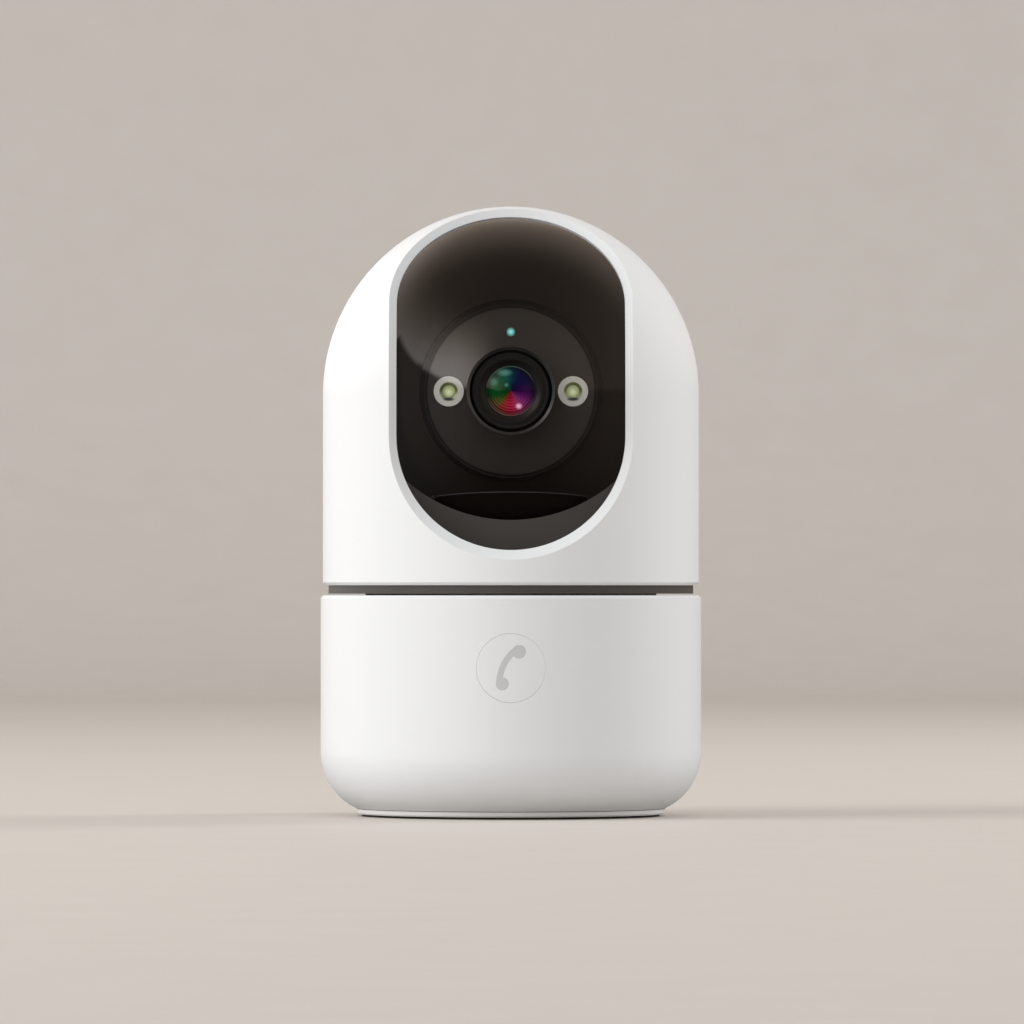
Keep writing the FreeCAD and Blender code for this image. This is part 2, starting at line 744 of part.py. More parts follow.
def make_call_button():
    """The button, its inlaid handset sign, its switch and the small board behind it."""
    centre = (0, button_height)
    front = -d.base_radius - 1
    flange_front = leg(base_inside, d.button_radius + d.button_lip) - 0.2
    flange_back = flange_front - 1.0
    stem_end = switch_face + d.button_travel + 0.2
    cap = fuse(
        "button_blank",
        common(
            "button_cap",
            cylinder("button_disc", d.button_radius, "Y", (front, -flange_back), centre),
            cylinder("button_curve", d.base_radius, "Z", (0, d.base_height)),
        ),
        cylinder("button_flange", d.button_radius + d.button_lip, "Y", (-flange_front, -flange_back), centre),
        cylinder("button_stem", as_size(1.6), "Y", (-flange_back, -stem_end), centre),
    )

    # Handset sign: a bowed grip between two round ends, leaning to the right.
    sign = body("handset_grip")
    grip = sketch_on(sign, "grip_outline", "XZ_Plane", lift=0, offset=button_height)
    unit = d.button_radius / 6
    top, low = (unit * 1.45, unit * 2.85), (unit * -1.5, unit * -2.75)
    outline(
        grip,
        (unit * -2.55, unit * -2.3, unit * 8.1),
        (unit * -1.45, unit * -2.3),
        (unit * 0.75, unit * 2.35, unit * -6.9),
        (unit * 0.55, unit * 3.65),
    )
    sign.Tip = feature(sign, "Pad", "grip", grip, Length=d.base_radius + 1)
    reach = (front, -base_inside)
    handset = fuse(
        "handset",
        sign,
        cylinder("handset_ear", unit * 1.22, "Y", reach, (top[0], button_height + top[1])),
        cylinder("handset_mouth", unit * 1.15, "Y", reach, (low[0], button_height + low[1])),
    )
    skin = tube("sign_skin", d.base_radius, d.base_radius - d.icon_depth, "Z", (0, d.base_height))
    front_half = box("sign_side", (-d.base_radius, d.base_radius), (front, as_size(0)), (as_size(0), d.base_height))
    sign_solid = common("call_sign", handset, skin, front_half)
    pocket = common("call_sign_pocket", handset, skin, front_half)
    sub_part(sign_solid)
    sub_part(cut("call_button", cap, pocket))

    sub_part(cylinder("call_switch_plunger", as_size(1.6), "Y", (-stem_end, -switch_face + 0.7), centre))
    half = as_size(3.0)
    housing = box(
        "switch_housing", (-half, half), (-switch_face, -button_board_front),
        (button_height - half, button_height + half),
    )
    well = cylinder("switch_well", as_size(1.75), "Y", (-switch_face, -switch_face + 1.6), centre)
    sub_part(cut("call_switch", housing, well))

    board_x = button_post_x + 2.6
    board = box(
        "button_board_blank", (-board_x, board_x), (-button_board_front, -button_board_back),
        (button_height - 5.5, button_height + 5.5),
    )
    spots = [(sign * button_post_x, button_height) for sign in (-1, 1)]
    holes = [
        cylinder(f"button_board_hole_{number}", SMALL_SHANK + 0.15, "Y", (-button_board_front, -button_board_back), s)
        for number, s in enumerate(spots)
    ]
    sub_part(cut("button_board", board, *holes))
    points = [(x, -button_board_back, z) for x, z in spots]
    return screws("button_board_screw", SMALL_SHANK, BOARD_SCREW, SMALL_HEAD, points, axis="Y")


def make_main_board(button_screws):
    """The main board on the bottom cover, with what is soldered to it and the screws of both boards."""
    span = (d.board_height, board_top)
    disc = cylinder("main_board_disc", board_radius, "Z", span)
    relief = [
        cylinder(f"boss_relief_{number}", d.boss_radius + 0.4, "Z", span, point[:2])
        for number, point in enumerate(ring_points(boss_circle, 0, BOTTOM_SCREW_ANGLES))
    ]
    holes = [
        cylinder(f"main_board_hole_{number}", SMALL_SHANK + 0.2, "Z", span, point[:2])
        for number, point in enumerate(ring_points(post_circle, 0, MAIN_SCREW_ANGLES))
    ]
    sub_part(cut("main_board", disc, *relief, *holes))
    main_points = ring_points(post_circle, board_top, MAIN_SCREW_ANGLES)
    fixed = screws("main_board_screw", SMALL_SHANK, BOARD_SCREW, SMALL_HEAD, main_points)
    sub_part(compound("board_screws", *fixed, *button_screws))

    lid = box("shield_outside", (as_size(-15), as_size(1)), (as_size(-9), as_size(9)), (board_top, board_top + 2.4))
    hollow = box(
        "shield_inside", (as_size(-14.7), as_size(0.7)), (as_size(-8.7), as_size(8.7)), (board_top, board_top + 2.1)
    )
    sub_part(cut("shield_can", lid, hollow))
    processor = box("processor", (as_size(-13), as_size(-5)), (as_size(-4), as_size(4)), (board_top, board_top + 1.2))
    radio = box("radio_chip", (as_size(-4), as_size(0)), (as_size(-2), as_size(2)), (board_top, board_top + 0.9))
    capacitors = [
        cylinder(f"capacitor_{number}", as_size(2.5), "Z", (board_top, board_top + 6.0), (as_size(x), as_size(y)))
        for number, (x, y) in enumerate(((8.5, -14.5), (14.5, -13.8)))
    ]
    sub_part(compound("board_components", processor, radio, *capacitors))
    sockets = []
    for number, (x, y) in enumerate(((6.0, 11.5), (-6.0, 10.5), (-6.0, -15.0))):
        shell = box(
            f"socket_shell_{number}", (as_size(x), as_size(x + 8)), (as_size(y), as_size(y + 4)),
            (board_top, board_top + 5),
        )
        mouth = box(
            f"socket_mouth_{number}", (as_size(x + 0.8), as_size(x + 7.2)), (as_size(y + 0.8), as_size(y + 3.2)),
            (board_top + 1, board_top + 5),
        )
        sockets.append(cut(f"socket_{number}", shell, mouth))
    sub_part(compound("cable_sockets", *sockets))

    mouth_end = leg(base_inside, d.port_width / 2) - 0.2
    inside = mouth_end - d.port_length
    wall = as_size(0.3)
    half_w, half_h = d.port_width / 2, d.port_height / 2
    can = cut(
        "port_can",
        rounded_bar("port_outside", half_w, half_h, (inside, mouth_end), as_size(0), port_centre),
        rounded_bar("port_inside", half_w - wall, half_h - wall, (inside + 1, mouth_end), as_size(0), port_centre),
    )
    tongue = box(
        "port_tongue", (as_size(-3.35), as_size(3.35)), (inside + 1, mouth_end - 0.6),
        (port_centre - 0.35, port_centre + 0.35),
    )
    sub_part(fuse("power_port", can, tongue))

    boot_reach = leg(base_inside, microphone_x + 2.5) - 0.3
    boot = cylinder("boot_outside", as_size(2.6), "Y", (boot_reach - 3.4, boot_reach), (-microphone_x, microphone_z))
    bore = cylinder("boot_bore", as_size(2.0), "Y", (boot_reach - 3.4, boot_reach - 1.0), (-microphone_x, microphone_z))
    way = cylinder("boot_way", as_size(0.6), "Y", (boot_reach - 1.0, boot_reach), (-microphone_x, microphone_z))
    capsule = cylinder(
        "microphone_capsule", as_size(1.95), "Y", (boot_reach - 3.0, boot_reach - 1.0), (-microphone_x, microphone_z)
    )
    sub_part(compound("microphone", cut("microphone_boot", boot, bore, way), capsule))


def make_speaker():
    centre = (0, speaker_height)
    rim = d.speaker_radius
    frame = fuse(
        "speaker_frame_solid",
        cylinder("speaker_basket", rim, "Y", (speaker_front - 1.6, speaker_front), centre),
        cone("speaker_cone_back", rim * 0.7, rim * 0.92, "Y", (speaker_front - 3.2, speaker_front - 1.6), centre),
    )
    bowl = cylinder("speaker_bowl", rim * 0.86, "Y", (speaker_front - 1.2, speaker_front), centre)
    pit = cylinder("speaker_pit", rim * 0.45, "Y", (speaker_front - 2.6, speaker_front - 1.2), centre)
    sub_part(cut("speaker_frame", frame, bowl, pit))
    sub_part(
        fuse(
            "speaker_diaphragm",
            cone("diaphragm_cone", rim * 0.5, rim * 0.84, "Y", (speaker_front - 1.2, speaker_front - 0.4), centre),
            cylinder("diaphragm_coil", rim * 0.4, "Y", (speaker_front - 2.2, speaker_front - 1.2), centre),
        )
    )
    sub_part(cylinder("speaker_magnet", rim * 0.55, "Y", (speaker_back, speaker_front - 3.2), centre))


def make_antenna():
    """A flexible antenna stuck to the inside of the base wall."""
    strip = []
    for name, radius in (("antenna_outside", base_inside - 0.05), ("antenna_inside", base_inside - 0.35)):
        sector = doc.addObject("Part::Cylinder", name)
        bind(sector, Radius=radius, Height=as_size(8))
        sector.Angle = 40
        turn = FreeCAD.Rotation(FreeCAD.Vector(0, 0, 1), 190)
        strip.append(place(sector, 0, 0, as_size(22), turn=turn))
    sub_part(cut("antenna", *strip))


# ---------------------------------------------------------------- pan drive

def gear_solid(name, teeth, bottom, top, x=0.0, turn=0.0):
    """An involute gear blank; its sizes are read from the sheet."""
    wires = fcgear.FCWireBuilder()
    involute.CreateExternalGear(wires, sheet.gear_module, int(teeth), 20)
    wire = Part.Wire([piece.toShape() for piece in wires.wire])
    shape = Part.Face(wire).extrude(FreeCAD.Vector(0, 0, top.number - bottom.number))
    obj = doc.addObject("Part::Feature", name)
    obj.Shape = shape
    spin = FreeCAD.Rotation(FreeCAD.Vector(0, 0, 1), turn)
    obj.Placement = FreeCAD.Placement(FreeCAD.Vector(as_size(x).number, 0, bottom.number), spin)
    return obj


def make_pan_drive():
    wheel = gear_solid("wheel_blank", sheet.wheel_teeth, gear_bottom, gear_top)
    sub_part(cut("pan_gear", wheel, cylinder("wheel_bore", seat_radius, "Z", (gear_bottom, gear_top))))
    pinion_bottom = gear_bottom - 0.2
    half_pitch = 180.0 / sheet.pinion_teeth
    blank = gear_solid("pinion_blank", sheet.pinion_teeth, pinion_bottom, gear_top, pinion_x, half_pitch)
    centre = (pinion_x, 0)
    sub_part(
        cut("pan_pinion", blank, cylinder("pinion_bore", d.shaft_radius, "Z", (pinion_bottom, gear_top), centre))
    )
    shaft_end = pan_motor_top - 5.0
    sub_part(cylinder("pan_motor_shaft", d.shaft_radius, "Z", (shaft_end, gear_top), centre))
    bush_outer = d.neck_radius + d.run_gap + d.bush_wall
    sub_part(tube("neck_bush", bush_outer, d.neck_radius + d.run_gap, "Z", (deck_bottom, d.base_height)))
    sub_part(
        tube(
            "glide_ring", d.glide_inner + d.glide_width, d.glide_inner, "Z",
            (d.base_height - d.glide_sink, turntable_bottom),
        )
    )
    clip = tube("clip_ring", seat_radius + 2.0, clip_groove + d.run_gap, "Z", (clip_bottom, gear_bottom))
    mouth = box("clip_mouth", (as_size(0), d.neck_radius + 5), (-clip_groove * 0.6, clip_groove * 0.6),
                (clip_bottom, gear_bottom))
    sub_part(cut("neck_clip", clip, mouth))


def motor(name, axis, face, inward, shaft, ears):
    """A geared stepper: can, ears and shaft boss. Inward is -1 when the can lies below its mounting face.
    Shaft and ears are centres in the plane of the face."""
    can_centre, shaft_centre, bore = ears["can"], shaft["centre"], shaft["bore"]

    def span(near, far):
        return (face - far, face - near) if inward < 0 else (face + near, face + far)

    pieces = [
        cylinder(name + "_can", d.motor_radius, axis, span(as_size(0), d.motor_length), can_centre),
    ]
    cuts = []
    for number, (first, second) in enumerate(ears["centres"]):
        pieces.append(cylinder(f"{name}_ear_{number}", d.ear_radius, axis, span(as_size(0), d.ear_thickness),
                               (first, second)))
        cuts.append(cylinder(f"{name}_ear_hole_{number}", SCREW_SHANK + 0.15, axis,
                             span(as_size(0), d.ear_thickness), (first, second)))
    strap_half = d.ear_radius * 0.9
    (a0, b0), (a1, b1) = ears["centres"]
    sides = [
        (low, high) if spread else (low - strap_half, high + strap_half)
        for low, high, spread in ((a0, a1, ears["along"] == 0), (b0, b1, ears["along"] == 1))
    ]
    sides.insert("XYZ".index(axis), span(as_size(0), d.ear_thickness))
    pieces.append(box(name + "_strap", *sides))
    cuts.append(cylinder(name + "_bearing", bore, axis, span(as_size(0), as_size(5.6)), shaft_centre))
    return sub_part(cut(name, fuse(name + "_solid", *pieces), *cuts))


def make_pan_motor():
    half = ear_spacing / 2
    motor(
        "pan_motor", "Z", pan_motor_top, -1,
        {"centre": (pinion_x, 0), "bore": d.shaft_radius + d.run_gap},
        {"can": (motor_x, 0), "centres": ((motor_x, -half), (motor_x, half)), "along": 1},
    )
    points = [(motor_x, sign * half, pan_motor_top - d.ear_thickness) for sign in (-1, 1)]
    screw_set("pan_motor_screws", SCREW_SHANK, as_size(4.6), SCREW_HEAD, points, way=-1)


# ---------------------------------------------------------------- head

column_circle = head_inside - d.column_radius + 0.2
YOKE_CIRCLE = as_size(20.5)


def make_turntable():
    table = body("turntable")
    section = sketch_on(table, "turntable_section")
    outline(
        section,
        (d.neck_bore, clip_bottom - 0.8),
        (seat_radius - 0.3, clip_bottom - 0.8),
        (seat_radius, clip_bottom - 0.5),
        (seat_radius, clip_bottom),
        (clip_groove, clip_bottom),
        (clip_groove, gear_bottom),
        (seat_radius, gear_bottom),
        (seat_radius, gear_top),
        (d.neck_radius, gear_top),
        (d.neck_radius, turntable_bottom),
        (band_radius, turntable_bottom),
        (band_radius, head_bottom),
        (head_inside - 0.1, head_bottom),
        (head_inside - 0.1, spigot_top),
        (d.neck_bore, spigot_top),
    )
    revolve(table, section)
    first = Size(f"({HEAD_SCREW_ANGLES[0]})", HEAD_SCREW_ANGLES[0])
    x, y = column_circle * cosine(first), column_circle * sine(first)
    through = sketch_on(table, "head_hole_outline", "XY_Plane", lift=turntable_bottom)
    circle(through, SMALL_SHANK + 0.2, x, y)
    hole = feature(table, "Pocket", "head_hole", through, Type="ThroughAll", Reversed=True)
    polar(table, "head_holes", hole, len(HEAD_SCREW_ANGLES))
    sink = sketch_on(table, "head_sink_outline", "XY_Plane", lift=turntable_bottom)
    circle(sink, SMALL_HEAD + 0.15, x, y)
    counterbore = feature(table, "Pocket", "head_sink", sink, Length=HEAD_SINK, Reversed=True)
    polar(table, "head_sinks", counterbore, len(HEAD_SCREW_ANGLES))
    pilots = sketch_on(table, "yoke_pilot_outline", "XY_Plane", lift=spigot_top)
    for x, y, _ in ring_points(YOKE_CIRCLE, 0, YOKE_SCREW_ANGLES):
        circle(pilots, SCREW_SHANK + PILOT_GAP, x, y)
    table.Tip = feature(table, "Pocket", "yoke_pilots", pilots, Length=as_size(2.0))
    return sub_part(table)


HEAD_SINK = as_size(1.1)


def on_head_skin(point):
    """True on the outer surface of the domed head."""
    lift = max(point.z - axis_height.number, 0)
    return abs(math.sqrt(point.x**2 + point.y**2 + lift**2) - d.head_radius.number) < 0.02


def on_slot_edge(point):
    return on_head_skin(point) and abs(point.x) < d.slot_half.number + 0.02 and point.y < 0 and (
        point.z > head_bottom.number + 1
    )


def make_head_shells():
    """The domed shell is turned, slotted and bevelled whole, then parted into a front and a rear half."""
    dome = body("head_dome")
    section = sketch_on(dome, "head_section")
    outline(
        section,
        (head_inside, head_bottom),
        (d.head_radius - d.edge_break, head_bottom),
        (d.head_radius, head_bottom + d.edge_break),
        (d.head_radius, axis_height),
        (0, axis_height + d.head_radius, d.head_radius),
        (0, axis_height + head_inside),
        (head_inside, axis_height, -head_inside),
    )
    revolve(dome, section)

    slot_centre = axis_height - d.slot_drop
    lower = sketch_on(dome, "slot_lower_outline")
    outline(
        lower,
        (d.slot_half, axis_height),
        (-d.slot_half, axis_height),
        (-d.slot_half, slot_centre),
        (as_size(0) * d.slot_half, slot_centre - d.slot_half, d.slot_half),
        (d.slot_half, slot_centre, d.slot_half),
    )
    feature(dome, "Pocket", "slot_lower", lower, Type="ThroughAll", Reversed=True)
    sweep = sketch_on(dome, "slot_sweep_outline", "XY_Plane", lift=axis_height)
    outline(
        sweep,
        (-d.slot_half, 0),
        (-d.slot_half, -(d.head_radius + 4)),
        (d.slot_half, -(d.head_radius + 4)),
        (d.slot_half, 0),
    )
    feature(
        dome, "Groove", "slot_sweep", sweep, ReferenceAxis=(sweep, ["H_Axis"]), Angle=d.slot_angle, Reversed=True
    )
    upper = sketch_on(dome, "slot_upper_outline", offset=axis_height)
    circle(upper, d.slot_half)
    upper.AttachmentOffset = FreeCAD.Placement(
        FreeCAD.Vector(0, axis_height.number, 0), FreeCAD.Rotation(FreeCAD.Vector(1, 0, 0), 0)
    )
    upper.setExpression("AttachmentOffset.Rotation.Angle", f"-{d.slot_angle.text}")
    upper.setExpression("AttachmentOffset.Rotation.Axis.x", "1")
    upper.setExpression("AttachmentOffset.Rotation.Axis.z", "0")
    slotted = feature(dome, "Pocket", "slot_upper", upper, Type="ThroughAll", Reversed=True)
    doc.recompute()
    rim = dome.newObject("PartDesign::Chamfer", "slot_bevel")
    rim.Base = (slotted, edges_where(slotted.Shape, on_slot_edge))
    bind(rim, Size=d.slot_chamfer)
    dome.Tip = rim

    reach = d.head_radius + 1
    halves = (
        ("head_front_shell", (-reach, d.seam_depth - d.seam_gap), (225.0, 315.0)),
        ("head_rear_shell", (d.seam_depth, reach), (45.0, 135.0)),
    )
    for name, depth, angles in halves:
        side = box(name + "_side", (-reach, reach), depth, (head_bottom - 1, axis_height + reach))
        columns = [
            tube(
                f"{name}_column_{number}", d.column_radius, SMALL_SHANK + PILOT_GAP, "Z",
                (spigot_top, spigot_top + d.column_height), point[:2],
            )
            for number, point in enumerate(ring_points(column_circle, 0, angles))
        ]
        sub_part(fuse(name, common(name + "_half", dome, side), *columns))
    screw_set(
        "head_screws", SMALL_SHANK, as_size(6.5), SMALL_HEAD,
        ring_points(column_circle, turntable_bottom + HEAD_SINK, HEAD_SCREW_ANGLES), way=-1,
    )


hub_end = arm_inner + 1.8


def make_yoke():
    """The chassis whose two arms carry the ball."""
    floor_top = spigot_top + d.plate_thickness
    plate_radius = column_circle - d.column_radius - 0.4
    pieces = [cylinder("yoke_floor", plate_radius, "Z", (spigot_top, floor_top))]
    for side, sign in (("left", -1), ("right", 1)):
        span = (arm_inner, arm_outer) if sign > 0 else (-arm_outer, -arm_inner)
        pieces.append(box(f"yoke_arm_{side}", span, (-d.arm_half, d.arm_half), (spigot_top, axis_height)))
        pieces.append(cylinder(f"yoke_eye_{side}", d.arm_half, "X", span, (0, axis_height)))
    cuts = [
        cylinder("yoke_well", as_size(15.0), "Z", (spigot_top, floor_top)),
        cylinder("hub_recess", d.hub_radius + d.run_gap, "X", (arm_inner, hub_end + 0.3), (0, axis_height)),
        shaft_bar("shaft_socket", (hub_end + 0.3, arm_outer), as_size(0.0)),
        cylinder("bush_bore", d.journal_radius + d.run_gap + 1.0, "X", (-arm_outer, -arm_inner), (0, axis_height)),
    ]
    for number, (x, y, _) in enumerate(ring_points(YOKE_CIRCLE, 0, YOKE_SCREW_ANGLES)):
        cuts.append(cylinder(f"yoke_hole_{number}", SCREW_SHANK + 0.15, "Z", (spigot_top, floor_top), (x, y)))
    sub_part(cut("tilt_yoke", fuse("yoke_solid", *pieces), *cuts))
    screw_set(
        "yoke_screws", SCREW_SHANK, as_size(3.2), SCREW_HEAD,
        ring_points(YOKE_CIRCLE, floor_top, YOKE_SCREW_ANGLES),
    )
    bush_outer = d.journal_radius + d.run_gap + 1.0
    bush = fuse(
        "pivot_bush_blank",
        cylinder("pivot_bush_sleeve", bush_outer, "X", (-arm_outer, -arm_inner), (0, axis_height)),
        cylinder("pivot_bush_flange", bush_outer + 1.2, "X", (-arm_inner, -arm_inner + 0.3), (0, axis_height)),
    )
    bore = cylinder(
        "pivot_bush_bore", d.journal_radius + d.run_gap, "X", (-arm_outer, -arm_inner + 0.3), (0, axis_height)
    )
    sub_part(cut("pivot_bush", bush, bore))


def make_dust_guard():
    """A dark plate that closes the space under the ball; its foot stands on the yoke's floor."""
    inner = ball_radius + d.guard_gap
    rim = -leg(inner, d.guard_radius)
    span = (rim, rim + d.guard_wall)
    floor_top = spigot_top + d.plate_thickness
    slot_centre = axis_height - d.slot_drop
    plate = common(
        "guard_plate",
        cylinder("guard_disc", d.slot_half + 1.2, "Y", span, (0, slot_centre)),
        box("guard_limit", (-d.head_radius, d.head_radius), span, (floor_top, axis_height - d.guard_radius * 0.4)),
    )
    half = d.guard_foot / 2
    leg_plate = box("guard_leg", (-half, half), span, (floor_top, slot_centre - d.slot_half + 2.0))
    foot = box("guard_foot", (-half, half), (rim, rim + 5.0), (floor_top, floor_top + d.guard_wall))
    ball_space = sphere("guard_ball_space", inner, axis_height)
    arch_centre = axis_height - d.guard_radius - d.guard_dip + d.guard_arch
    arch = cylinder("guard_arch_space", d.guard_arch, "Y", (rim - 1.0, rim + d.guard_wall + 1.0), (0, arch_centre))
    sub_part(cut("dust_guard", fuse("guard_blank", plate, leg_plate, foot), ball_space, arch))


def shaft_bar(name, span, gap):
    """A round bar with two flats, as on the end of the tilt motor's shaft."""
    rod = cylinder(name + "_rod", d.tilt_shaft + gap, "X", span, (0, axis_height))
    flat = d.tilt_flat + gap
    wide = d.tilt_shaft + 1
    slab = box(name + "_slab", span, (-flat, flat), (axis_height - wide, axis_height + wide))
    return common(name, rod, slab)


def make_tilt_motor():
    centre = (0, axis_height)
    round_end = hub_end + 0.3
    start = side_inside - 5.0
    sub_part(
        fuse(
            "tilt_motor_shaft",
            cylinder("tilt_shaft_round", d.tilt_shaft, "X", (start, round_end), centre),
            shaft_bar("tilt_shaft_flats", (round_end, arm_outer), as_size(0.0)),
        )
    )
    half = ear_spacing / 2
    can = (d.motor_offset, axis_height)
    ears = ((d.motor_offset, axis_height - half), (d.motor_offset, axis_height + half))
    motor(
        "tilt_motor", "X", side_inside, -1,
        {"centre": centre, "bore": d.tilt_shaft + d.run_gap},
        {"can": can, "centres": ears, "along": 1},
    )
    points = [(side_inside - d.ear_thickness, y, z) for y, z in ears]
    return screws("tilt_motor_screw", SMALL_SHANK, as_size(2.0), SMALL_HEAD, points, axis="X", way=-1)


# ---------------------------------------------------------------- lens ball

def ball_half_shell(name, depth):
    """One half of the hollow ball, with flat sides."""
    reach = ball_radius + 1
    solid = common(
        name + "_solid",
        sphere(name + "_sphere", ball_radius, axis_height),
        box(name + "_block", (-d.ball_half, d.ball_half), depth, (axis_height - reach, axis_height + reach)),
    )
    hollow = common(
        name + "_hollow",
        sphere(name + "_inner_sphere", ball_inside, axis_height),
        box(
            name + "_inner_block", (-side_inside, side_inside), depth,
            (axis_height - reach, axis_height + reach),
        ),
    )
    return cut(name + "_half", solid, hollow)


def card_block(name, radius_span, half_width, half_height, x=0, behind=0):
    """A block that points down and forward from the tilt axis at the card slot's angle."""
    low, high = radius_span
    block = doc.addObject("Part::Box", name)
    bind(block, Length=half_width * 2, Width=high - low, Height=half_height * 2)
    # The block's width runs outward along the slot's direction.
    turn = FreeCAD.Rotation(FreeCAD.Vector(1, 0, 0), 180 + d.card_angle.number)
    block.Placement = FreeCAD.Placement(FreeCAD.Vector(), turn)
    block.setExpression("Placement.Rotation.Angle", f"180 + {d.card_angle.text}")
    out_y, out_z = -cosine(d.card_angle), -sine(d.card_angle)
    up_y, up_z = sine(d.card_angle), -cosine(d.card_angle)
    block.setExpression("Placement.Base.x", (as_size(x) - half_width).text)
    rise = as_size(behind) - half_height
    block.setExpression("Placement.Base.y", (out_y * low + up_y * rise).text)
    block.setExpression("Placement.Base.z", (axis_height + out_z * low + up_z * rise).text)
    return block


def angled_cylinder(name, radius, span, x):
    """A cylinder that points down and forward from the tilt axis at the card slot's angle."""
    low, high = span
    rod = doc.addObject("Part::Cylinder", name)
    bind(rod, Radius=radius, Height=high - low)
    turn = FreeCAD.Rotation(FreeCAD.Vector(1, 0, 0), 90 + d.card_angle.number)
    rod.Placement = FreeCAD.Placement(FreeCAD.Vector(), turn)
    rod.setExpression("Placement.Rotation.Angle", f"90 + {d.card_angle.text}")
    rod.setExpression("Placement.Base.x", as_size(x).text)
    rod.setExpression("Placement.Base.y", (-cosine(d.card_angle) * low).text)
    rod.setExpression("Placement.Base.z", (axis_height - sine(d.card_angle) * low).text)
    return rod


socket_half = d.card_height / 2 + 0.8
board_left = -d.card_width / 2 - 1.9
board_right = d.card_width / 2 + 5.9
board_middle = (board_left + board_right) / 2
board_half = (board_right - board_left) / 2
reset_x = d.card_width / 2 + 3.6
reset_face = leg(ball_radius, reset_x) - 0.35


def make_ball_shells():
    reach = ball_radius + 1
    centre = (0, axis_height)
    front = ball_half_shell("ball_front", (-reach, d.ball_seam - d.seam_gap))
    ledge_front = window_back - 0.1
    ledge = tube(
        "window_ledge", d.window_radius + 1.6, disc_radius, "Y", (-ledge_front, -ledge_front + 1.6), centre
    )
    hub = cylinder("drive_hub", d.hub_radius, "X", (side_inside, hub_end), centre)
    journal = cylinder("free_journal", d.journal_radius, "X", (-arm_outer, -side_inside), centre)
    ear_pilots = []
    for name, sign in (("low", -1), ("high", 1)):
        spot = (d.motor_offset, axis_height + sign * (ear_spacing / 2))
        ear_pilots.append(
            cylinder(f"tilt_ear_pilot_{name}", SMALL_SHANK + PILOT_GAP, "X", (side_inside, side_inside + 1.3), spot)
        )
    screws_y = d.ball_seam - d.seam_gap
    lugs = []
    lug_pilots = []
    for name, sign in (("left", -1), ("right", 1)):
        spot = (sign * BALL_SCREW_X, axis_height + BALL_SCREW_RISE)
        lugs.append(cylinder(f"front_lug_{name}", BALL_LUG, "Y", (screws_y - 7.0, screws_y), spot))
        lug_pilots.append(
            cylinder(f"front_lug_pilot_{name}", SMALL_SHANK + PILOT_GAP, "Y", (screws_y - 5.0, screws_y), spot)
        )
    rails = []
    for side, x in (("left", board_left - 0.8), ("right", board_right + 0.8)):
        span = (leg(ball_inside, x) - 5.0, leg(ball_inside, x) + 0.8)
        rails.append(card_block(f"card_rail_{side}", span, as_size(0.8), as_size(1.6), x, socket_half + 0.6))
    pieces = fuse("ball_front_pieces", front, ledge, hub, journal, *lugs, *rails)
    cuts = [
        cylinder("window_hole", d.window_radius + 0.05, "Y", (-reach, -ledge_front), centre),
        cylinder("disc_hole", disc_radius, "Y", (-reach, -ledge_front + 1.6), centre),
        cylinder("drive_bore", d.tilt_shaft + 0.5, "X", (side_inside, hub_end), centre),
        cylinder("cable_bore", d.journal_bore, "X", (-arm_outer, -side_inside), centre),
        card_block("card_slot", (ball_inside - 3.0, reach), d.card_width / 2, d.card_height / 2),
        angled_cylinder("reset_hole", d.reset_radius + 0.1, (ball_inside - 3.0, reach), reset_x),
        *ear_pilots,
        *lug_pilots,
    ]
    sub_part(cut("ball_front_shell", pieces, *cuts))

    rear = ball_half_shell("ball_rear", (d.ball_seam, reach))
    rear_lugs = []
    rear_cuts = []
    for name, sign in (("left", -1), ("right", 1)):
        spot = (sign * BALL_SCREW_X, axis_height + BALL_SCREW_RISE)
        rear_lugs.append(cylinder(f"rear_lug_{name}", BALL_LUG, "Y", (d.ball_seam, d.ball_seam + 2.0), spot))
        rear_cuts.append(cylinder(f"rear_lug_hole_{name}", SMALL_SHANK + 0.15, "Y", (d.ball_seam, reach), spot))
        rear_cuts.append(
            cylinder(f"rear_lug_sink_{name}", SMALL_HEAD + 0.15, "Y", (d.ball_seam + 2.0, reach), spot)
        )
    whole = fuse("ball_rear_whole", rear, *rear_lugs)
    sub_part(cut("ball_rear_shell", whole, *rear_cuts))
    points = [(sign * BALL_SCREW_X, d.ball_seam + 2.0, axis_height + BALL_SCREW_RISE) for sign in (-1, 1)]
    screw_set("ball_screws", SMALL_SHANK, as_size(6.5), SMALL_HEAD, points, axis="Y", way=1)


BALL_LUG = as_size(2.6)
BALL_SCREW_X = as_size(12.0)
BALL_SCREW_RISE = leg(leg(ball_radius, d.ball_seam + 2.0) - BALL_LUG - 0.2, BALL_SCREW_X)
SENSOR_HALF = as_size(11.5)


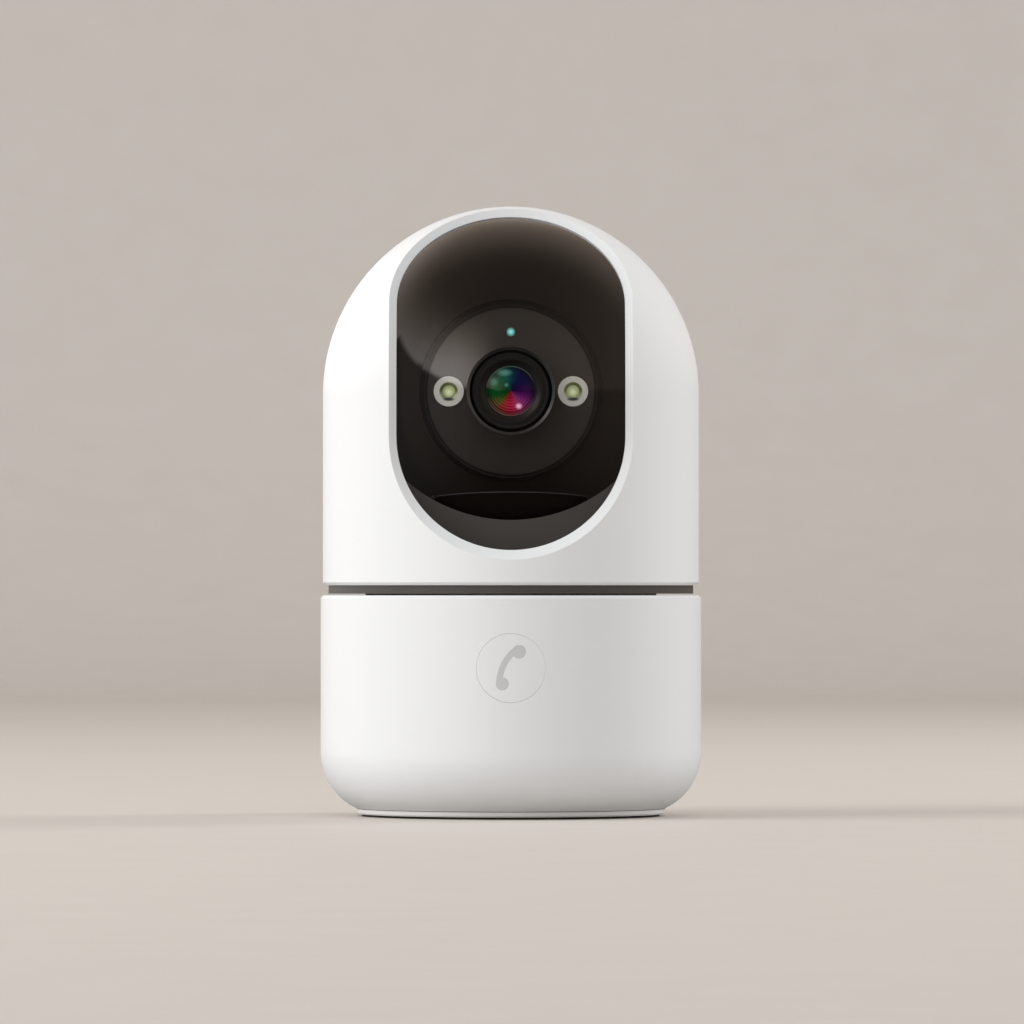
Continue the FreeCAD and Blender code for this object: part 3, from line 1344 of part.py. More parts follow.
def make_window_and_plate():
    centre = (0, axis_height)
    reach = ball_radius + 1
    cap = common(
        "window_cap",
        sphere("window_outer_sphere", ball_radius, axis_height),
        cylinder("window_disc", d.window_radius, "Y", (-reach, -window_back), centre),
    )
    hole = cylinder("window_lens_hole", lens_hole_radius, "Y", (-reach, -window_back), centre)
    bevel = cone(
        "window_lens_bevel", lens_hole_radius + 1.0, lens_hole_radius, "Y", (-bevel_front - 0.5, -bevel_front + 0.5), centre
    )
    inner = sphere("window_inner_sphere", ball_radius - d.window_wall, axis_height)
    sub_part(cut("lens_window", cap, inner, hole, bevel))

    disc = cylinder("plate_disc", disc_radius - 0.05, "Y", (-plate_front, -plate_back), centre)
    cuts = [cylinder("plate_hole", lens_hole_radius, "Y", (-plate_front, -plate_back), centre)]
    for side, sign in (("left", -1), ("right", 1)):
        spot = (sign * d.lamp_spacing, axis_height)
        cuts.append(cylinder(f"plate_lamp_{side}", d.lamp_radius + 0.03, "Y", (-plate_front, -plate_back), spot))
    spot = (0, axis_height + d.light_rise)
    cuts.append(cylinder("plate_light", d.light_radius + 0.03, "Y", (-plate_front, -plate_back), spot))
    sub_part(cut("lens_plate", disc, *cuts))


def make_lamps():
    """Two white lamps and the status light on their ring-shaped board."""
    centre = (0, axis_height)
    ring = tube(
        "lamp_board_ring", disc_radius - 0.4, holder_outer, "Y",
        (-lamp_board_front, -lamp_board_back), centre,
    )
    sub_part(ring, "lamp_board")
    cups = []
    lamps = []
    for side, sign in (("left", -1), ("right", 1)):
        x = sign * d.lamp_spacing
        spot = (x, axis_height)
        cup = cylinder(f"cup_{side}", d.lamp_radius, "Y", (-plate_front, -lamp_board_front), spot)
        bowl = cone(
            f"cup_bowl_{side}", d.lamp_radius * 0.62, d.lamp_radius * 0.42, "Y", (-plate_front, -plate_back), spot
        )
        well = box(
            f"cup_well_{side}", (x - 1.4, x + 1.4), (-plate_back, -lamp_board_front),
            (axis_height - 1.4, axis_height + 1.4),
        )
        mouth = cylinder(f"cup_mouth_{side}", d.lamp_radius * 0.42, "Y", (-plate_back - 0.1, -plate_back), spot)
        cups.append(cut(f"lamp_cup_{side}", cup, bowl, well, mouth))
        chip = box(
            f"lamp_chip_{side}", (x - 1.3, x + 1.3), (-plate_back + 0.05, -lamp_board_front),
            (axis_height - 1.3, axis_height + 1.3),
        )
        dome = cylinder(f"lamp_dome_{side}", d.lamp_radius * 0.38, "Y", (-plate_back - 0.35, -plate_back + 0.05), spot)
        lamps.append(fuse(f"lamp_{side}", chip, dome))
    sub_part(compound("lamp_reflectors", *cups))
    sub_part(compound("lamps", *lamps))
    spot = (0, axis_height + d.light_rise)
    sub_part(cylinder("status_light", d.light_radius, "Y", (-plate_front, -lamp_board_front), spot))


def make_lens(motor_screws):
    """The screw-in lens, its holder, the sensor board behind it and the short screws inside the ball."""
    centre = (0, axis_height)
    barrel = body("lens_barrel")
    section = sketch_on(barrel, "barrel_section", "YZ_Plane", offset=axis_height)
    rear_bore = as_size(3.2)
    middle_bore = as_size(3.7)
    glass_seat = barrel_front - 2.9
    middle_seat = barrel_front - 8.0
    mouth = d.glass_radius + 0.9
    outline(
        section,
        (-thread_end, rear_bore),
        (-thread_end, d.thread_radius),
        (-barrel_shoulder, d.thread_radius),
        (-barrel_shoulder, d.barrel_radius),
        (-barrel_front + 0.3, d.barrel_radius),
        (-barrel_front, d.barrel_radius - 0.3),
        (-barrel_front, mouth + 0.35),
        (-barrel_front + 0.3, mouth + 0.35),
        (-barrel_front + 0.3, mouth),
        (-barrel_front + 0.9, d.glass_radius),
        (-glass_seat, d.glass_radius),
        (-glass_seat, middle_bore),
        (-middle_seat, middle_bore),
        (-middle_seat, rear_bore),
    )
    revolve(barrel, section, "H_Axis")
    sub_part(barrel)

    curve = d.glass_radius * 2.55
    bulge = sphere("front_lens_bulge", curve, axis_height, y=curve - barrel_front + 0.1)
    disc = cylinder("front_lens_disc", d.glass_radius - 0.02, "Y", (-barrel_front, -glass_seat), centre)
    sub_part(common("front_lens", bulge, disc))
    middle = cylinder("middle_lens", middle_bore - 0.02, "Y", (-middle_seat - 1.8, -middle_seat), centre)
    rear = cylinder("rear_lens", rear_bore - 0.02, "Y", (-thread_end - 2.0, -thread_end - 0.2), centre)
    sub_part(compound("inner_lenses", middle, rear))

    flange_front = sensor_board_front + 1.6
    solid = fuse(
        "holder_solid",
        cylinder("holder_tube", holder_outer, "Y", (-holder_front, -sensor_board_front), centre),
        box(
            "holder_flange", (-SENSOR_HALF - 2.2, SENSOR_HALF + 2.2), (-flange_front, -sensor_board_front),
            (axis_height - 3.2, axis_height + 3.2),
        ),
    )
    spots = [(sign * SENSOR_HALF, axis_height) for sign in (-1, 1)]
    cuts = [
        cylinder("holder_thread", d.thread_radius + 0.02, "Y", (-holder_front, -thread_end), centre),
        cylinder("holder_chamber", as_size(4.8), "Y", (-thread_end, -sensor_board_front), centre),
        cylinder("holder_mouth", d.barrel_radius + 0.05, "Y", (-barrel_front, -barrel_shoulder + 0.3), centre),
    ]
    for number, spot in enumerate(spots):
        cuts.append(
            cylinder(f"holder_pilot_{number}", SMALL_SHANK + PILOT_GAP, "Y", (-flange_front, -sensor_board_front), spot)
        )
    sub_part(cut("lens_holder", solid, *cuts))
    sub_part(
        box("infrared_filter", (as_size(-3.3), as_size(3.3)), (-thread_end, -thread_end + 0.5),
            (axis_height - 3.3, axis_height + 3.3))
    )
    sub_part(
        box("image_sensor", (as_size(-3.0), as_size(3.0)), (-sensor_board_front - 0.9, -sensor_board_front),
            (axis_height - 2.5, axis_height + 2.5))
    )
    half = as_size(15.5)
    board = box(
        "sensor_board_blank", (-half, half), (-sensor_board_front, -sensor_board_back),
        (axis_height - 17.0, axis_height + 14.0),
    )
    holes = [
        cylinder(f"sensor_board_hole_{number}", SMALL_SHANK + 0.15, "Y", (-sensor_board_front, -sensor_board_back), s)
        for number, s in enumerate(spots)
    ]
    sub_part(cut("sensor_board", board, *holes))
    points = [(x, -sensor_board_back, z) for x, z in spots]
    fixed = screws("sensor_screw", SMALL_SHANK, as_size(2.0), SMALL_HEAD, points, axis="Y", way=1)
    sub_part(compound("ball_inner_screws", *fixed, *motor_screws))


def make_card_and_reset():
    """Memory card socket and reset button, under the ball and out of sight until it tilts up."""
    low, high = ball_inside - 12.5, ball_inside - 2.2
    socket = cut(
        "card_socket",
        card_block("card_socket_block", (low, high), d.card_width / 2 + 0.9, socket_half),
        card_block("card_socket_mouth", (low + 1.0, high), d.card_width / 2, d.card_height / 2),
    )
    sub_part(socket)
    inner = high - 1.2
    sub_part(
        fuse(
            "reset_button",
            angled_cylinder("reset_pin", d.reset_radius, (inner, reset_face), reset_x),
            angled_cylinder("reset_flange", d.reset_radius + 0.6, (inner, inner + 0.7), reset_x),
        )
    )
    clear_of_button = inner - d.reset_travel - 0.1
    sub_part(card_block("reset_switch", (inner - 3.4, clear_of_button), as_size(1.7), socket_half, reset_x))
    board = (low - 2.5, clear_of_button)
    sub_part(card_block("card_board", board, board_half, as_size(0.6), board_middle, socket_half + 0.6))


# ---------------------------------------------------------------- build and write

def build():
    finish_base_shell(make_base_shell())
    make_bottom_cover()
    make_foot()
    button_screws = make_call_button()
    make_main_board(button_screws)
    make_speaker()
    make_antenna()
    make_pan_drive()
    make_pan_motor()
    make_turntable()
    make_head_shells()
    make_yoke()
    make_dust_guard()
    motor_screws = make_tilt_motor()
    make_ball_shells()
    make_window_and_plate()
    make_lamps()
    make_lens(motor_screws)
    make_card_and_reset()


def check_document():
    faults = [f"{obj.Label}: {obj.State}" for obj in doc.Objects if {"Invalid", "Error"} & set(obj.State)]
    for obj in PARTS:
        shape = obj.Shape
        if shape.isNull() or not shape.isValid() or not shape.Solids:
            faults.append(f"{obj.Label}: no valid solid")
    if faults:
        raise RuntimeError("; ".join(faults))


def write_parts():
    os.makedirs("parts", exist_ok=True)
    for obj in PARTS:
        obj.Shape.exportStep(os.path.join("parts", obj.Label + ".step"))
        print(f"{obj.Label}: {len(obj.Shape.Solids)} solids, {obj.Shape.Volume:.1f} mm3")


build()
doc.recompute()
check_document()
write_parts()
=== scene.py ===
"""Looks of the pan-and-tilt security camera: materials, fine detail, studio light and the camera's view."""
import json
import math

import bmesh
import bpy
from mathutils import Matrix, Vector


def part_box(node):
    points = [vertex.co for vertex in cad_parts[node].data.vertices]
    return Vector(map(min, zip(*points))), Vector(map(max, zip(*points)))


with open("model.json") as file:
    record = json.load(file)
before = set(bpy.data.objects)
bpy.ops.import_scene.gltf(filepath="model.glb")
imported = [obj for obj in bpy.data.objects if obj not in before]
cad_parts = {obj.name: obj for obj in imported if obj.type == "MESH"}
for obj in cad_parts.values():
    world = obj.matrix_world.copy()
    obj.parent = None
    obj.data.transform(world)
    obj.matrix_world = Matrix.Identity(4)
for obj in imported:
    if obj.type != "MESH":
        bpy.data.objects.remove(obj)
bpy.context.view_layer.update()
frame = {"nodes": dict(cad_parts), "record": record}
nodes = frame["nodes"]

TO_MM = 1000  # the frame is in metres, and sizes within a material are in millimetres


# ---------------------------------------------------------------- places that the frame gives

def centre_of(node):
    low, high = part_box(node)
    return (low + high) / 2


def size_of(node):
    low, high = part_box(node)
    return high - low


lens_centre = centre_of("front_lens")
axis_centre = (0, 0, lens_centre.z)
lamp_low, lamp_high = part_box("lamp_reflectors")
LAMP_X = (lamp_high.x - (lamp_high.z - lamp_low.z) / 2) * TO_MM
BALL_RADIUS = size_of("ball_rear_shell").z / 2 * TO_MM
BASE_RADIUS = size_of("base_shell").x / 2 * TO_MM


# ---------------------------------------------------------------- shader building blocks

class Shader:
    """The node tree of a material or a world. Each building block returns an output socket,
    except node and principled, which return the node."""

    def __init__(self, owner, output="OutputMaterial"):
        self.owner = owner
        owner.use_nodes = True
        self.tree = owner.node_tree
        self.tree.nodes.clear()
        self.output = self.node(output)

    def feed(self, socket, value):
        if isinstance(value, bpy.types.NodeSocket):
            self.tree.links.new(value, socket)
        else:
            socket.default_value = value

    def node(self, kind, settings=None, **inputs):
        made = self.tree.nodes.new("ShaderNode" + kind)
        for setting, value in (settings or {}).items():
            setattr(made, setting, value)
        for name, value in inputs.items():
            self.feed(made.inputs[name.replace("_", " ")], value)
        return made

    def finish(self, surface):
        self.feed(self.output.inputs["Surface"], surface)

    def principled(self, **inputs):
        made = self.node("BsdfPrincipled", **inputs)
        self.finish(made.outputs["BSDF"])
        return made

    def mix_surfaces(self, fac, first, second):
        made = self.node("MixShader", Fac=fac)
        self.feed(made.inputs[1], first.outputs[0])
        self.feed(made.inputs[2], second.outputs[0])
        return made

    def place(self, origin=(0, 0, 0)):
        """The point on the object, in millimetres about an origin given in the row frame's metres."""
        point = self.node("TexCoord").outputs["Object"]
        mapped = self.node("Mapping", Vector=point)
        mapped.inputs["Location"].default_value = [-value * TO_MM for value in origin]
        mapped.inputs["Scale"].default_value = (TO_MM, TO_MM, TO_MM)
        return mapped.outputs["Vector"]

    def parts(self, vector):
        made = self.node("SeparateXYZ", Vector=vector)
        return made.outputs["X"], made.outputs["Y"], made.outputs["Z"]

    def noise(self, scale, detail=2.0, roughness=0.5, vector=None):
        made = self.node("TexNoise", Scale=scale, Detail=detail, Roughness=roughness,
                         Vector=vector or self.node("TexCoord").outputs["Object"])
        return made.outputs["Fac"]

    def math(self, operation, first, second=0.0):
        made = self.node("Math", {"operation": operation})
        self.feed(made.inputs[0], first)
        self.feed(made.inputs[1], second)
        return made.outputs[0]

    def length(self, *parts):
        """The length of a vector given by its parts."""
        total, *others = [self.math("MULTIPLY", part, part) for part in parts]
        for square in others:
            total = self.math("ADD", total, square)
        return self.math("SQRT", total)

    def between(self, fac, low, high):
        """A number that runs from low to high with fac."""
        made = self.node("MapRange")
        for name, value in (("Value", fac), ("To Min", low), ("To Max", high)):
            self.feed(made.inputs[name], value)
        return made.outputs["Result"]

    def step(self, value, low, high):
        """Runs smoothly from 0 to 1 as a value passes from low to high, whichever is the larger."""
        made = self.node("MapRange", {"interpolation_type": "SMOOTHSTEP"})
        self.feed(made.inputs["Value"], value)
        made.inputs["From Min"].default_value = low
        made.inputs["From Max"].default_value = high
        return made.outputs["Result"]

    def spot(self, x, z, centre, half_width, half_height, soft):
        """1 inside an oval about a centre, and 0 outside it."""
        across = self.math("DIVIDE", self.math("SUBTRACT", x, centre[0]), half_width)
        up = self.math("DIVIDE", self.math("SUBTRACT", z, centre[1]), half_height)
        return self.step(self.length(across, up), 1 + soft, 1 - soft)

    def ramp(self, fac, stops):
        made = self.node("ValToRGB", Fac=fac)
        elements = made.color_ramp.elements
        while len(elements) < len(stops):
            elements.new(0.5)
        for element, (position, colour) in zip(elements, stops):
            element.position = position
            element.color = (*colour, 1)
        return made.outputs["Color"]

    def mix(self, fac, first, second, blend="MIX"):
        """Two colours mixed by fac."""
        made = self.node("Mix", {"data_type": "RGBA", "blend_type": blend})
        self.feed(made.inputs["Factor"], fac)
        for name, value in (("A", first), ("B", second)):
            socket = next(s for s in made.inputs if s.name == name and s.type == "RGBA")
            self.feed(socket, value if isinstance(value, bpy.types.NodeSocket) else (*value, 1))
        return next(s for s in made.outputs if s.type == "RGBA")

    def bump(self, height, strength, distance):
        """A normal from a height, with the distance in metres."""
        made = self.node("Bump", Strength=strength, Distance=distance, Height=height)
        return made.outputs["Normal"]


def new_material(name):
    return Shader(bpy.data.materials.new(name))


def shade(colour, amount):
    return tuple(min(1.0, value * amount) for value in colour)


# ---------------------------------------------------------------- kinds of material

# Painted glow: the depths below the base's surface over which it comes in.
PAINTED_GLOW_FROM, PAINTED_GLOW_FULL = 0.5, 0.8  # depths below the base's surface, in millimetres


def moulded(name, colour, roughness=0.4, grain=0.0002, depth=0.000004, spread=0.04, painted_glow=0.0):
    """Injection-moulded plastic: spark-eroded grain, a slow drift of gloss and a faint drift of tone.

    Given a strength, what lies just below the base's surface gets a painted glow, which stands in for
    daylight through the thin wall and lightens the gap round the button."""
    shader = new_material(name)
    fine = shader.noise(1 / grain, detail=3, roughness=0.6)
    slow = shader.noise(45)
    tone = shader.mix(slow, shade(colour, 1 - spread), shade(colour, 1 + spread))
    gloss = shader.math("ADD", shader.between(slow, roughness - 0.03, roughness + 0.03),
                        shader.between(fine, -0.03, 0.03))
    made = shader.principled(Base_Color=tone, Roughness=gloss, Normal=shader.bump(fine, 0.5, depth))
    # Painted glow: emission on what lies just below the base's surface, to lighten the gap round the button.
    if painted_glow:
        x, y, _ = shader.parts(shader.place())
        below = shader.step(shader.length(x, y), BASE_RADIUS - PAINTED_GLOW_FROM, BASE_RADIUS - PAINTED_GLOW_FULL)
        shader.feed(made.inputs["Emission Color"], tone)
        shader.feed(made.inputs["Emission Strength"], shader.math("MULTIPLY", below, painted_glow))
    return shader.owner


def metal(name, colour, roughness=0.3, lines=(1.0, 1.0, 1.0)):
    """Bare or plated metal, brushed along the axis with the smallest share in lines."""
    shader = new_material(name)
    point = shader.node("TexCoord").outputs["Object"]
    stretched = shader.node("Mapping", Vector=point)
    stretched.inputs["Scale"].default_value = lines
    scratch = shader.noise(2500, detail=4, roughness=0.7, vector=stretched.outputs["Vector"])
    tone = shader.mix(scratch, shade(colour, 0.86), shade(colour, 1.1))
    gloss = shader.between(scratch, roughness - 0.08, roughness + 0.1)
    made = shader.principled(Base_Color=tone, Roughness=gloss, Normal=shader.bump(scratch, 0.4, 0.000006))
    made.inputs["Metallic"].default_value = 1.0
    return shader.owner


def board(name, mask, copper):
    """A circuit board: solder mask over square-cornered tracks and a scatter of plated holes."""
    shader = new_material(name)
    point = shader.place()
    tracks = shader.node("TexBrick", {"offset": 0.35, "squash": 1.6}, Vector=point, Scale=0.8,
                         Mortar_Size=0.05, Brick_Width=1.3, Row_Height=0.5,
                         Color1=(0, 0, 0, 1), Color2=(0.25, 0.25, 0.25, 1), Mortar=(1, 1, 1, 1))
    holes = shader.node("TexVoronoi", Vector=point, Scale=0.45).outputs["Distance"]
    plated = shader.ramp(holes, [(0.0, (1, 1, 1)), (0.11, (1, 1, 1)), (0.13, (0, 0, 0))])
    tone = shader.mix(tracks.outputs["Color"], mask, shade(mask, 1.9))
    tone = shader.mix(plated, tone, copper)
    bump = shader.bump(tracks.outputs["Color"], 0.4, 0.00002)
    shader.principled(Base_Color=tone, Roughness=0.35, Normal=bump)
    return shader.owner


def clear_surface(shader, tint):
    """Thin clear plastic or coated glass: what lies behind shows through, and the surface keeps its gloss."""
    speck = shader.noise(9000)
    through = shader.node("BsdfTransparent", Color=(*tint, 1))
    gloss = shader.node("BsdfGlossy", Color=(1, 1, 1, 1), Roughness=shader.between(speck, 0.02, 0.03))
    # The share that is mirrored grows from 4 percent, seen square on, to all at a glance.
    facing = shader.node("LayerWeight", Blend=0.5).outputs["Facing"]
    mirrored = shader.math("MULTIPLY", shader.math("POWER", facing, 5.0), 0.96)
    return shader.mix_surfaces(shader.math("ADD", mirrored, 0.04), through, gloss)


def clear(name, tint):
    shader = new_material(name)
    shader.finish(clear_surface(shader, tint).outputs[0])
    return shader.owner


# ---------------------------------------------------------------- the camera's own materials
# Sizes in this section are in millimetres.

SHELL = (0.785, 0.80, 0.81)
LEDGE_FROM, LEDGE_FULL = 0.6, 0.9  # depths below the ball's surface between which gloss gives way to matt
BEVEL_RADIUS, BEVEL_END = 7.74, 7.8  # where the clear cover's frosted bevel ends
GLASS_RADIUS = 4.45
GLASS_RIM = (4.12, 4.26, 4.34)  # where the painted highlight line at the front lens's edge starts, is full and fades
ARC_WAVE = 13.0  # radians of wave in each millimetre of radius, for the painted arcs
BARREL_PITCH = 0.9
LAMP_RIBS = 42
LAMP_BOWL, LAMP_BOWL_END = 1.50, 1.72


def glossy_ball():
    """Deep gloss black of the lens ball, with the faint orange peel of moulded plastic and matt ledges."""
    shader = new_material("ball_black")
    peel = shader.noise(260)
    fine = shader.noise(5000)
    tone = shader.mix(peel, (0.0062, 0.0045, 0.0036), (0.0078, 0.0057, 0.0046))
    radius = shader.length(*shader.parts(shader.place(axis_centre)))
    inside = shader.step(radius, BALL_RADIUS - LEDGE_FROM, BALL_RADIUS - LEDGE_FULL)
    gloss = shader.math("ADD", shader.between(fine, 0.03, 0.06), shader.math("MULTIPLY", inside, 0.85))
    made = shader.principled(Base_Color=tone, Roughness=gloss, Normal=shader.bump(peel, 0.05, 0.00002))
    made.inputs["IOR"].default_value = 1.5
    return shader.owner


def lens_cover():
    """Clear cover whose countersunk edge round the lens is frosted."""
    shader = new_material("window_clear")
    clear_part = clear_surface(shader, (0.93, 0.92, 0.91))
    tone = shader.mix(shader.noise(9000), (0.19, 0.20, 0.21), (0.22, 0.23, 0.24))
    frost = shader.node("BsdfPrincipled", Base_Color=tone, Metallic=1.0, Roughness=0.35)
    x, _, z = shader.parts(shader.place(lens_centre))
    edge = shader.step(shader.length(x, z), BEVEL_END, BEVEL_RADIUS)
    shader.finish(shader.mix_surfaces(edge, clear_part, frost).outputs[0])
    return shader.owner


def stepped_barrel():
    """The lens barrel, with fine stepped rings round the lens axis: a bump, and painted light and shade that
    makes alternate rings lighter and darker.
    """
    shader = new_material("barrel_black")
    x, _, z = shader.parts(shader.place(lens_centre))
    wave = shader.math("SINE", shader.math("MULTIPLY", shader.length(x, z), 2 * math.pi / BARREL_PITCH))
    colour = (0.006, 0.0055, 0.0055)
    # Painted light and shade: the tone runs lighter and darker with the rings.
    tone = shader.mix(shader.between(wave, 0.0, 1.0), shade(colour, 0.7), shade(colour, 1.4))
    shader.principled(Base_Color=tone, Roughness=0.4, Normal=shader.bump(wave, 0.5, 0.00002))
    return shader.owner


def lens_with_painted_reflections():
    """The front lens, with painted reflections: the colours its coatings reflect turn from green through
    navy, magenta and red round the axis, with painted arcs, a painted highlight line at the edge and painted
    glints, all glowing faintly.
    """
    shader = new_material("lens_coated")
    x, _, z = shader.parts(shader.place(lens_centre))
    radius = shader.length(x, z)
    # Painted reflection: the colours that the coatings reflect, set by the angle round the axis.
    angle = shader.math("ARCTAN2", z, x)
    turn = shader.math("FRACT", shader.math("ADD", shader.math("DIVIDE", angle, 2 * math.pi), 1.0))
    ripple = shader.math("MULTIPLY", shader.math("SUBTRACT", shader.noise(900, detail=3), 0.5), 0.05)
    painted_reflection_hue = shader.ramp(shader.math("FRACT", shader.math("ADD", turn, shader.math("ADD", ripple, 1.0))), [
        (0.00, (0.045, 0.003, 0.080)),
        (0.09, (0.008, 0.004, 0.070)),
        (0.17, (0.002, 0.008, 0.070)),
        (0.23, (0.002, 0.036, 0.075)),
        (0.30, (0.004, 0.110, 0.080)),
        (0.42, (0.002, 0.095, 0.030)),
        (0.54, (0.004, 0.085, 0.014)),
        (0.62, (0.050, 0.100, 0.010)),
        (0.68, (0.330, 0.030, 0.020)),
        (0.75, (0.560, 0.006, 0.050)),
        (0.83, (0.470, 0.050, 0.200)),
        (0.91, (0.210, 0.025, 0.230)),
        (1.00, (0.045, 0.003, 0.080)),
    ])
    # Painted reflection brightness from the middle out to the edge of the glass.
    levels = ((0.0, 0.20), (0.22, 0.33), (0.5, 0.48), (0.72, 0.42), (0.9, 0.15), (0.955, 0.10), (1.0, 0.20))
    painted_reflection_level = shader.ramp(shader.math("DIVIDE", radius, GLASS_RADIUS),
                             [(place, (level, level, level)) for place, level in levels])
    tone = shader.mix(1.0, painted_reflection_hue, painted_reflection_level, "MULTIPLY")
    # Painted reflections of arcs in the red third, standing in for the edges of the deeper lenses.
    painted_arc_wave = shader.math("SINE", shader.math("MULTIPLY", radius, ARC_WAVE))
    low = shader.math("MULTIPLY", shader.step(z, -0.7, -2.2), shader.between(painted_arc_wave, 0.0, 0.24))
    tone = shader.mix(low, tone, (0.50, 0.09, 0.13), "SCREEN")
    # A painted highlight line at the glass's edge, brightest at the top and bottom.
    start, full, fade = GLASS_RIM
    rim = shader.math("MULTIPLY", shader.step(radius, start, full), shader.step(radius, GLASS_RADIUS, fade))
    height = shader.step(shader.math("ABSOLUTE", z), 0.6, 3.6)
    bright = shader.math("ADD", shader.math("MULTIPLY", height, 0.10), 0.02)
    tone = shader.mix(shader.math("MULTIPLY", rim, bright), tone, (0.40, 0.50, 0.43), "ADD")
    # Small painted highlights: glints of mirrored lights painted onto the glass.
    for centre, width, height, colour, strength in (
        ((-1.15, 3.20), 1.05, 0.50, (0.35, 0.85, 0.66), 0.16),
        ((-3.00, 1.55), 0.60, 0.60, (0.30, 0.80, 0.55), 0.12),
        ((-0.78, 1.00), 0.30, 0.28, (0.50, 0.85, 1.00), 0.12),
        ((1.40, -2.70), 0.46, 0.40, (1.00, 0.60, 0.80), 0.66),
    ):
        painted_glint = shader.math("MULTIPLY", shader.spot(x, z, centre, width, height, soft=0.7), strength)
        tone = shader.mix(painted_glint, tone, colour, "ADD")
    # The painted reflections also glow faintly, though the lens is no lamp.
    made = shader.principled(Base_Color=tone, Emission_Color=tone, Emission_Strength=0.1, Roughness=0.05)
    made.inputs["Specular IOR Level"].default_value = 0.25
    return shader.owner


def about_lamp(shader):
    """The place across and up either lamp's face, about its own axis."""
    x, _, z = shader.parts(shader.place(axis_centre))
    return shader.math("SUBTRACT", shader.math("ABSOLUTE", x), LAMP_X), z


def lamp_cup():
    """Frosted lamp reflector with painted light and shade of fine radial ribs round a bowl. Above the chip
    the bowl has a painted olive reflection of the chip's lens, with a dark pad under the chip."""
    shader = new_material("reflector_white")
    frost = shader.noise(4000, detail=3, roughness=0.6)
    x, z = about_lamp(shader)
    # Painted light and shade: the ribs are only lighter and darker stripes of tone, with no bump.
    painted_rib_shade = shader.math("SINE", shader.math("MULTIPLY", shader.math("ARCTAN2", z, x), LAMP_RIBS))
    tone = shader.mix(shader.between(painted_rib_shade, 0.5, 0.9), (0.56, 0.58, 0.57), (0.90, 0.93, 0.91))
    bowl = shader.step(shader.length(x, z), LAMP_BOWL_END, LAMP_BOWL)
    tone = shader.mix(bowl, tone, (0.62, 0.68, 0.50))
    # Painted reflection of the chip's lens, olive, in the bowl above the chip.
    painted_lens_reflection = shader.math("MULTIPLY", bowl, shader.step(z, -0.7, 0.3))
    tone = shader.mix(painted_lens_reflection, tone, (0.17, 0.22, 0.075))
    pad = shader.spot(x, z, (0, -1.38), 0.95, 0.30, soft=0.4)
    tone = shader.mix(pad, tone, (0.055, 0.058, 0.085))
    shader.principled(Base_Color=tone, Roughness=0.42, Normal=shader.bump(frost, 0.4, 0.000008))
    return shader.owner


def phosphor():
    """Yellow-green phosphor under a clear dome, palest at the chip's middle."""
    shader = new_material("lamp_yellow")
    speck = shader.noise(9000)
    x, z = about_lamp(shader)
    core = shader.step(shader.length(x, shader.math("ADD", z, 0.12)), 0.95, 0.15)
    tone = shader.mix(core, (0.40, 0.50, 0.22), (0.85, 0.95, 0.58))
    tone = shader.mix(shader.between(speck, 0.0, 0.25), tone, (0.9, 0.95, 0.75))
    made = shader.principled(Base_Color=tone, Emission_Color=tone, Emission_Strength=0.22, Roughness=0.25)
    made.inputs["Coat Weight"].default_value = 0.5
    return shader.owner


def lit_dot():
    """The status light: a lit cyan light guide, brightest in the middle."""
    shader = new_material("status_cyan")
    speck = shader.noise(15000, detail=1)
    x, _, z = shader.parts(shader.place(centre_of("status_light")))
    core = shader.step(shader.length(x, z), 0.8, 0.1)
    tone = shader.mix(core, (0.01, 0.15, 0.16), (0.30, 0.92, 0.92))
    tone = shader.mix(shader.between(speck, 0.0, 0.12), tone, (0.6, 1.0, 1.0))
    shader.principled(Base_Color=tone, Emission_Color=tone, Emission_Strength=0.36, Roughness=0.3)
    return shader.owner


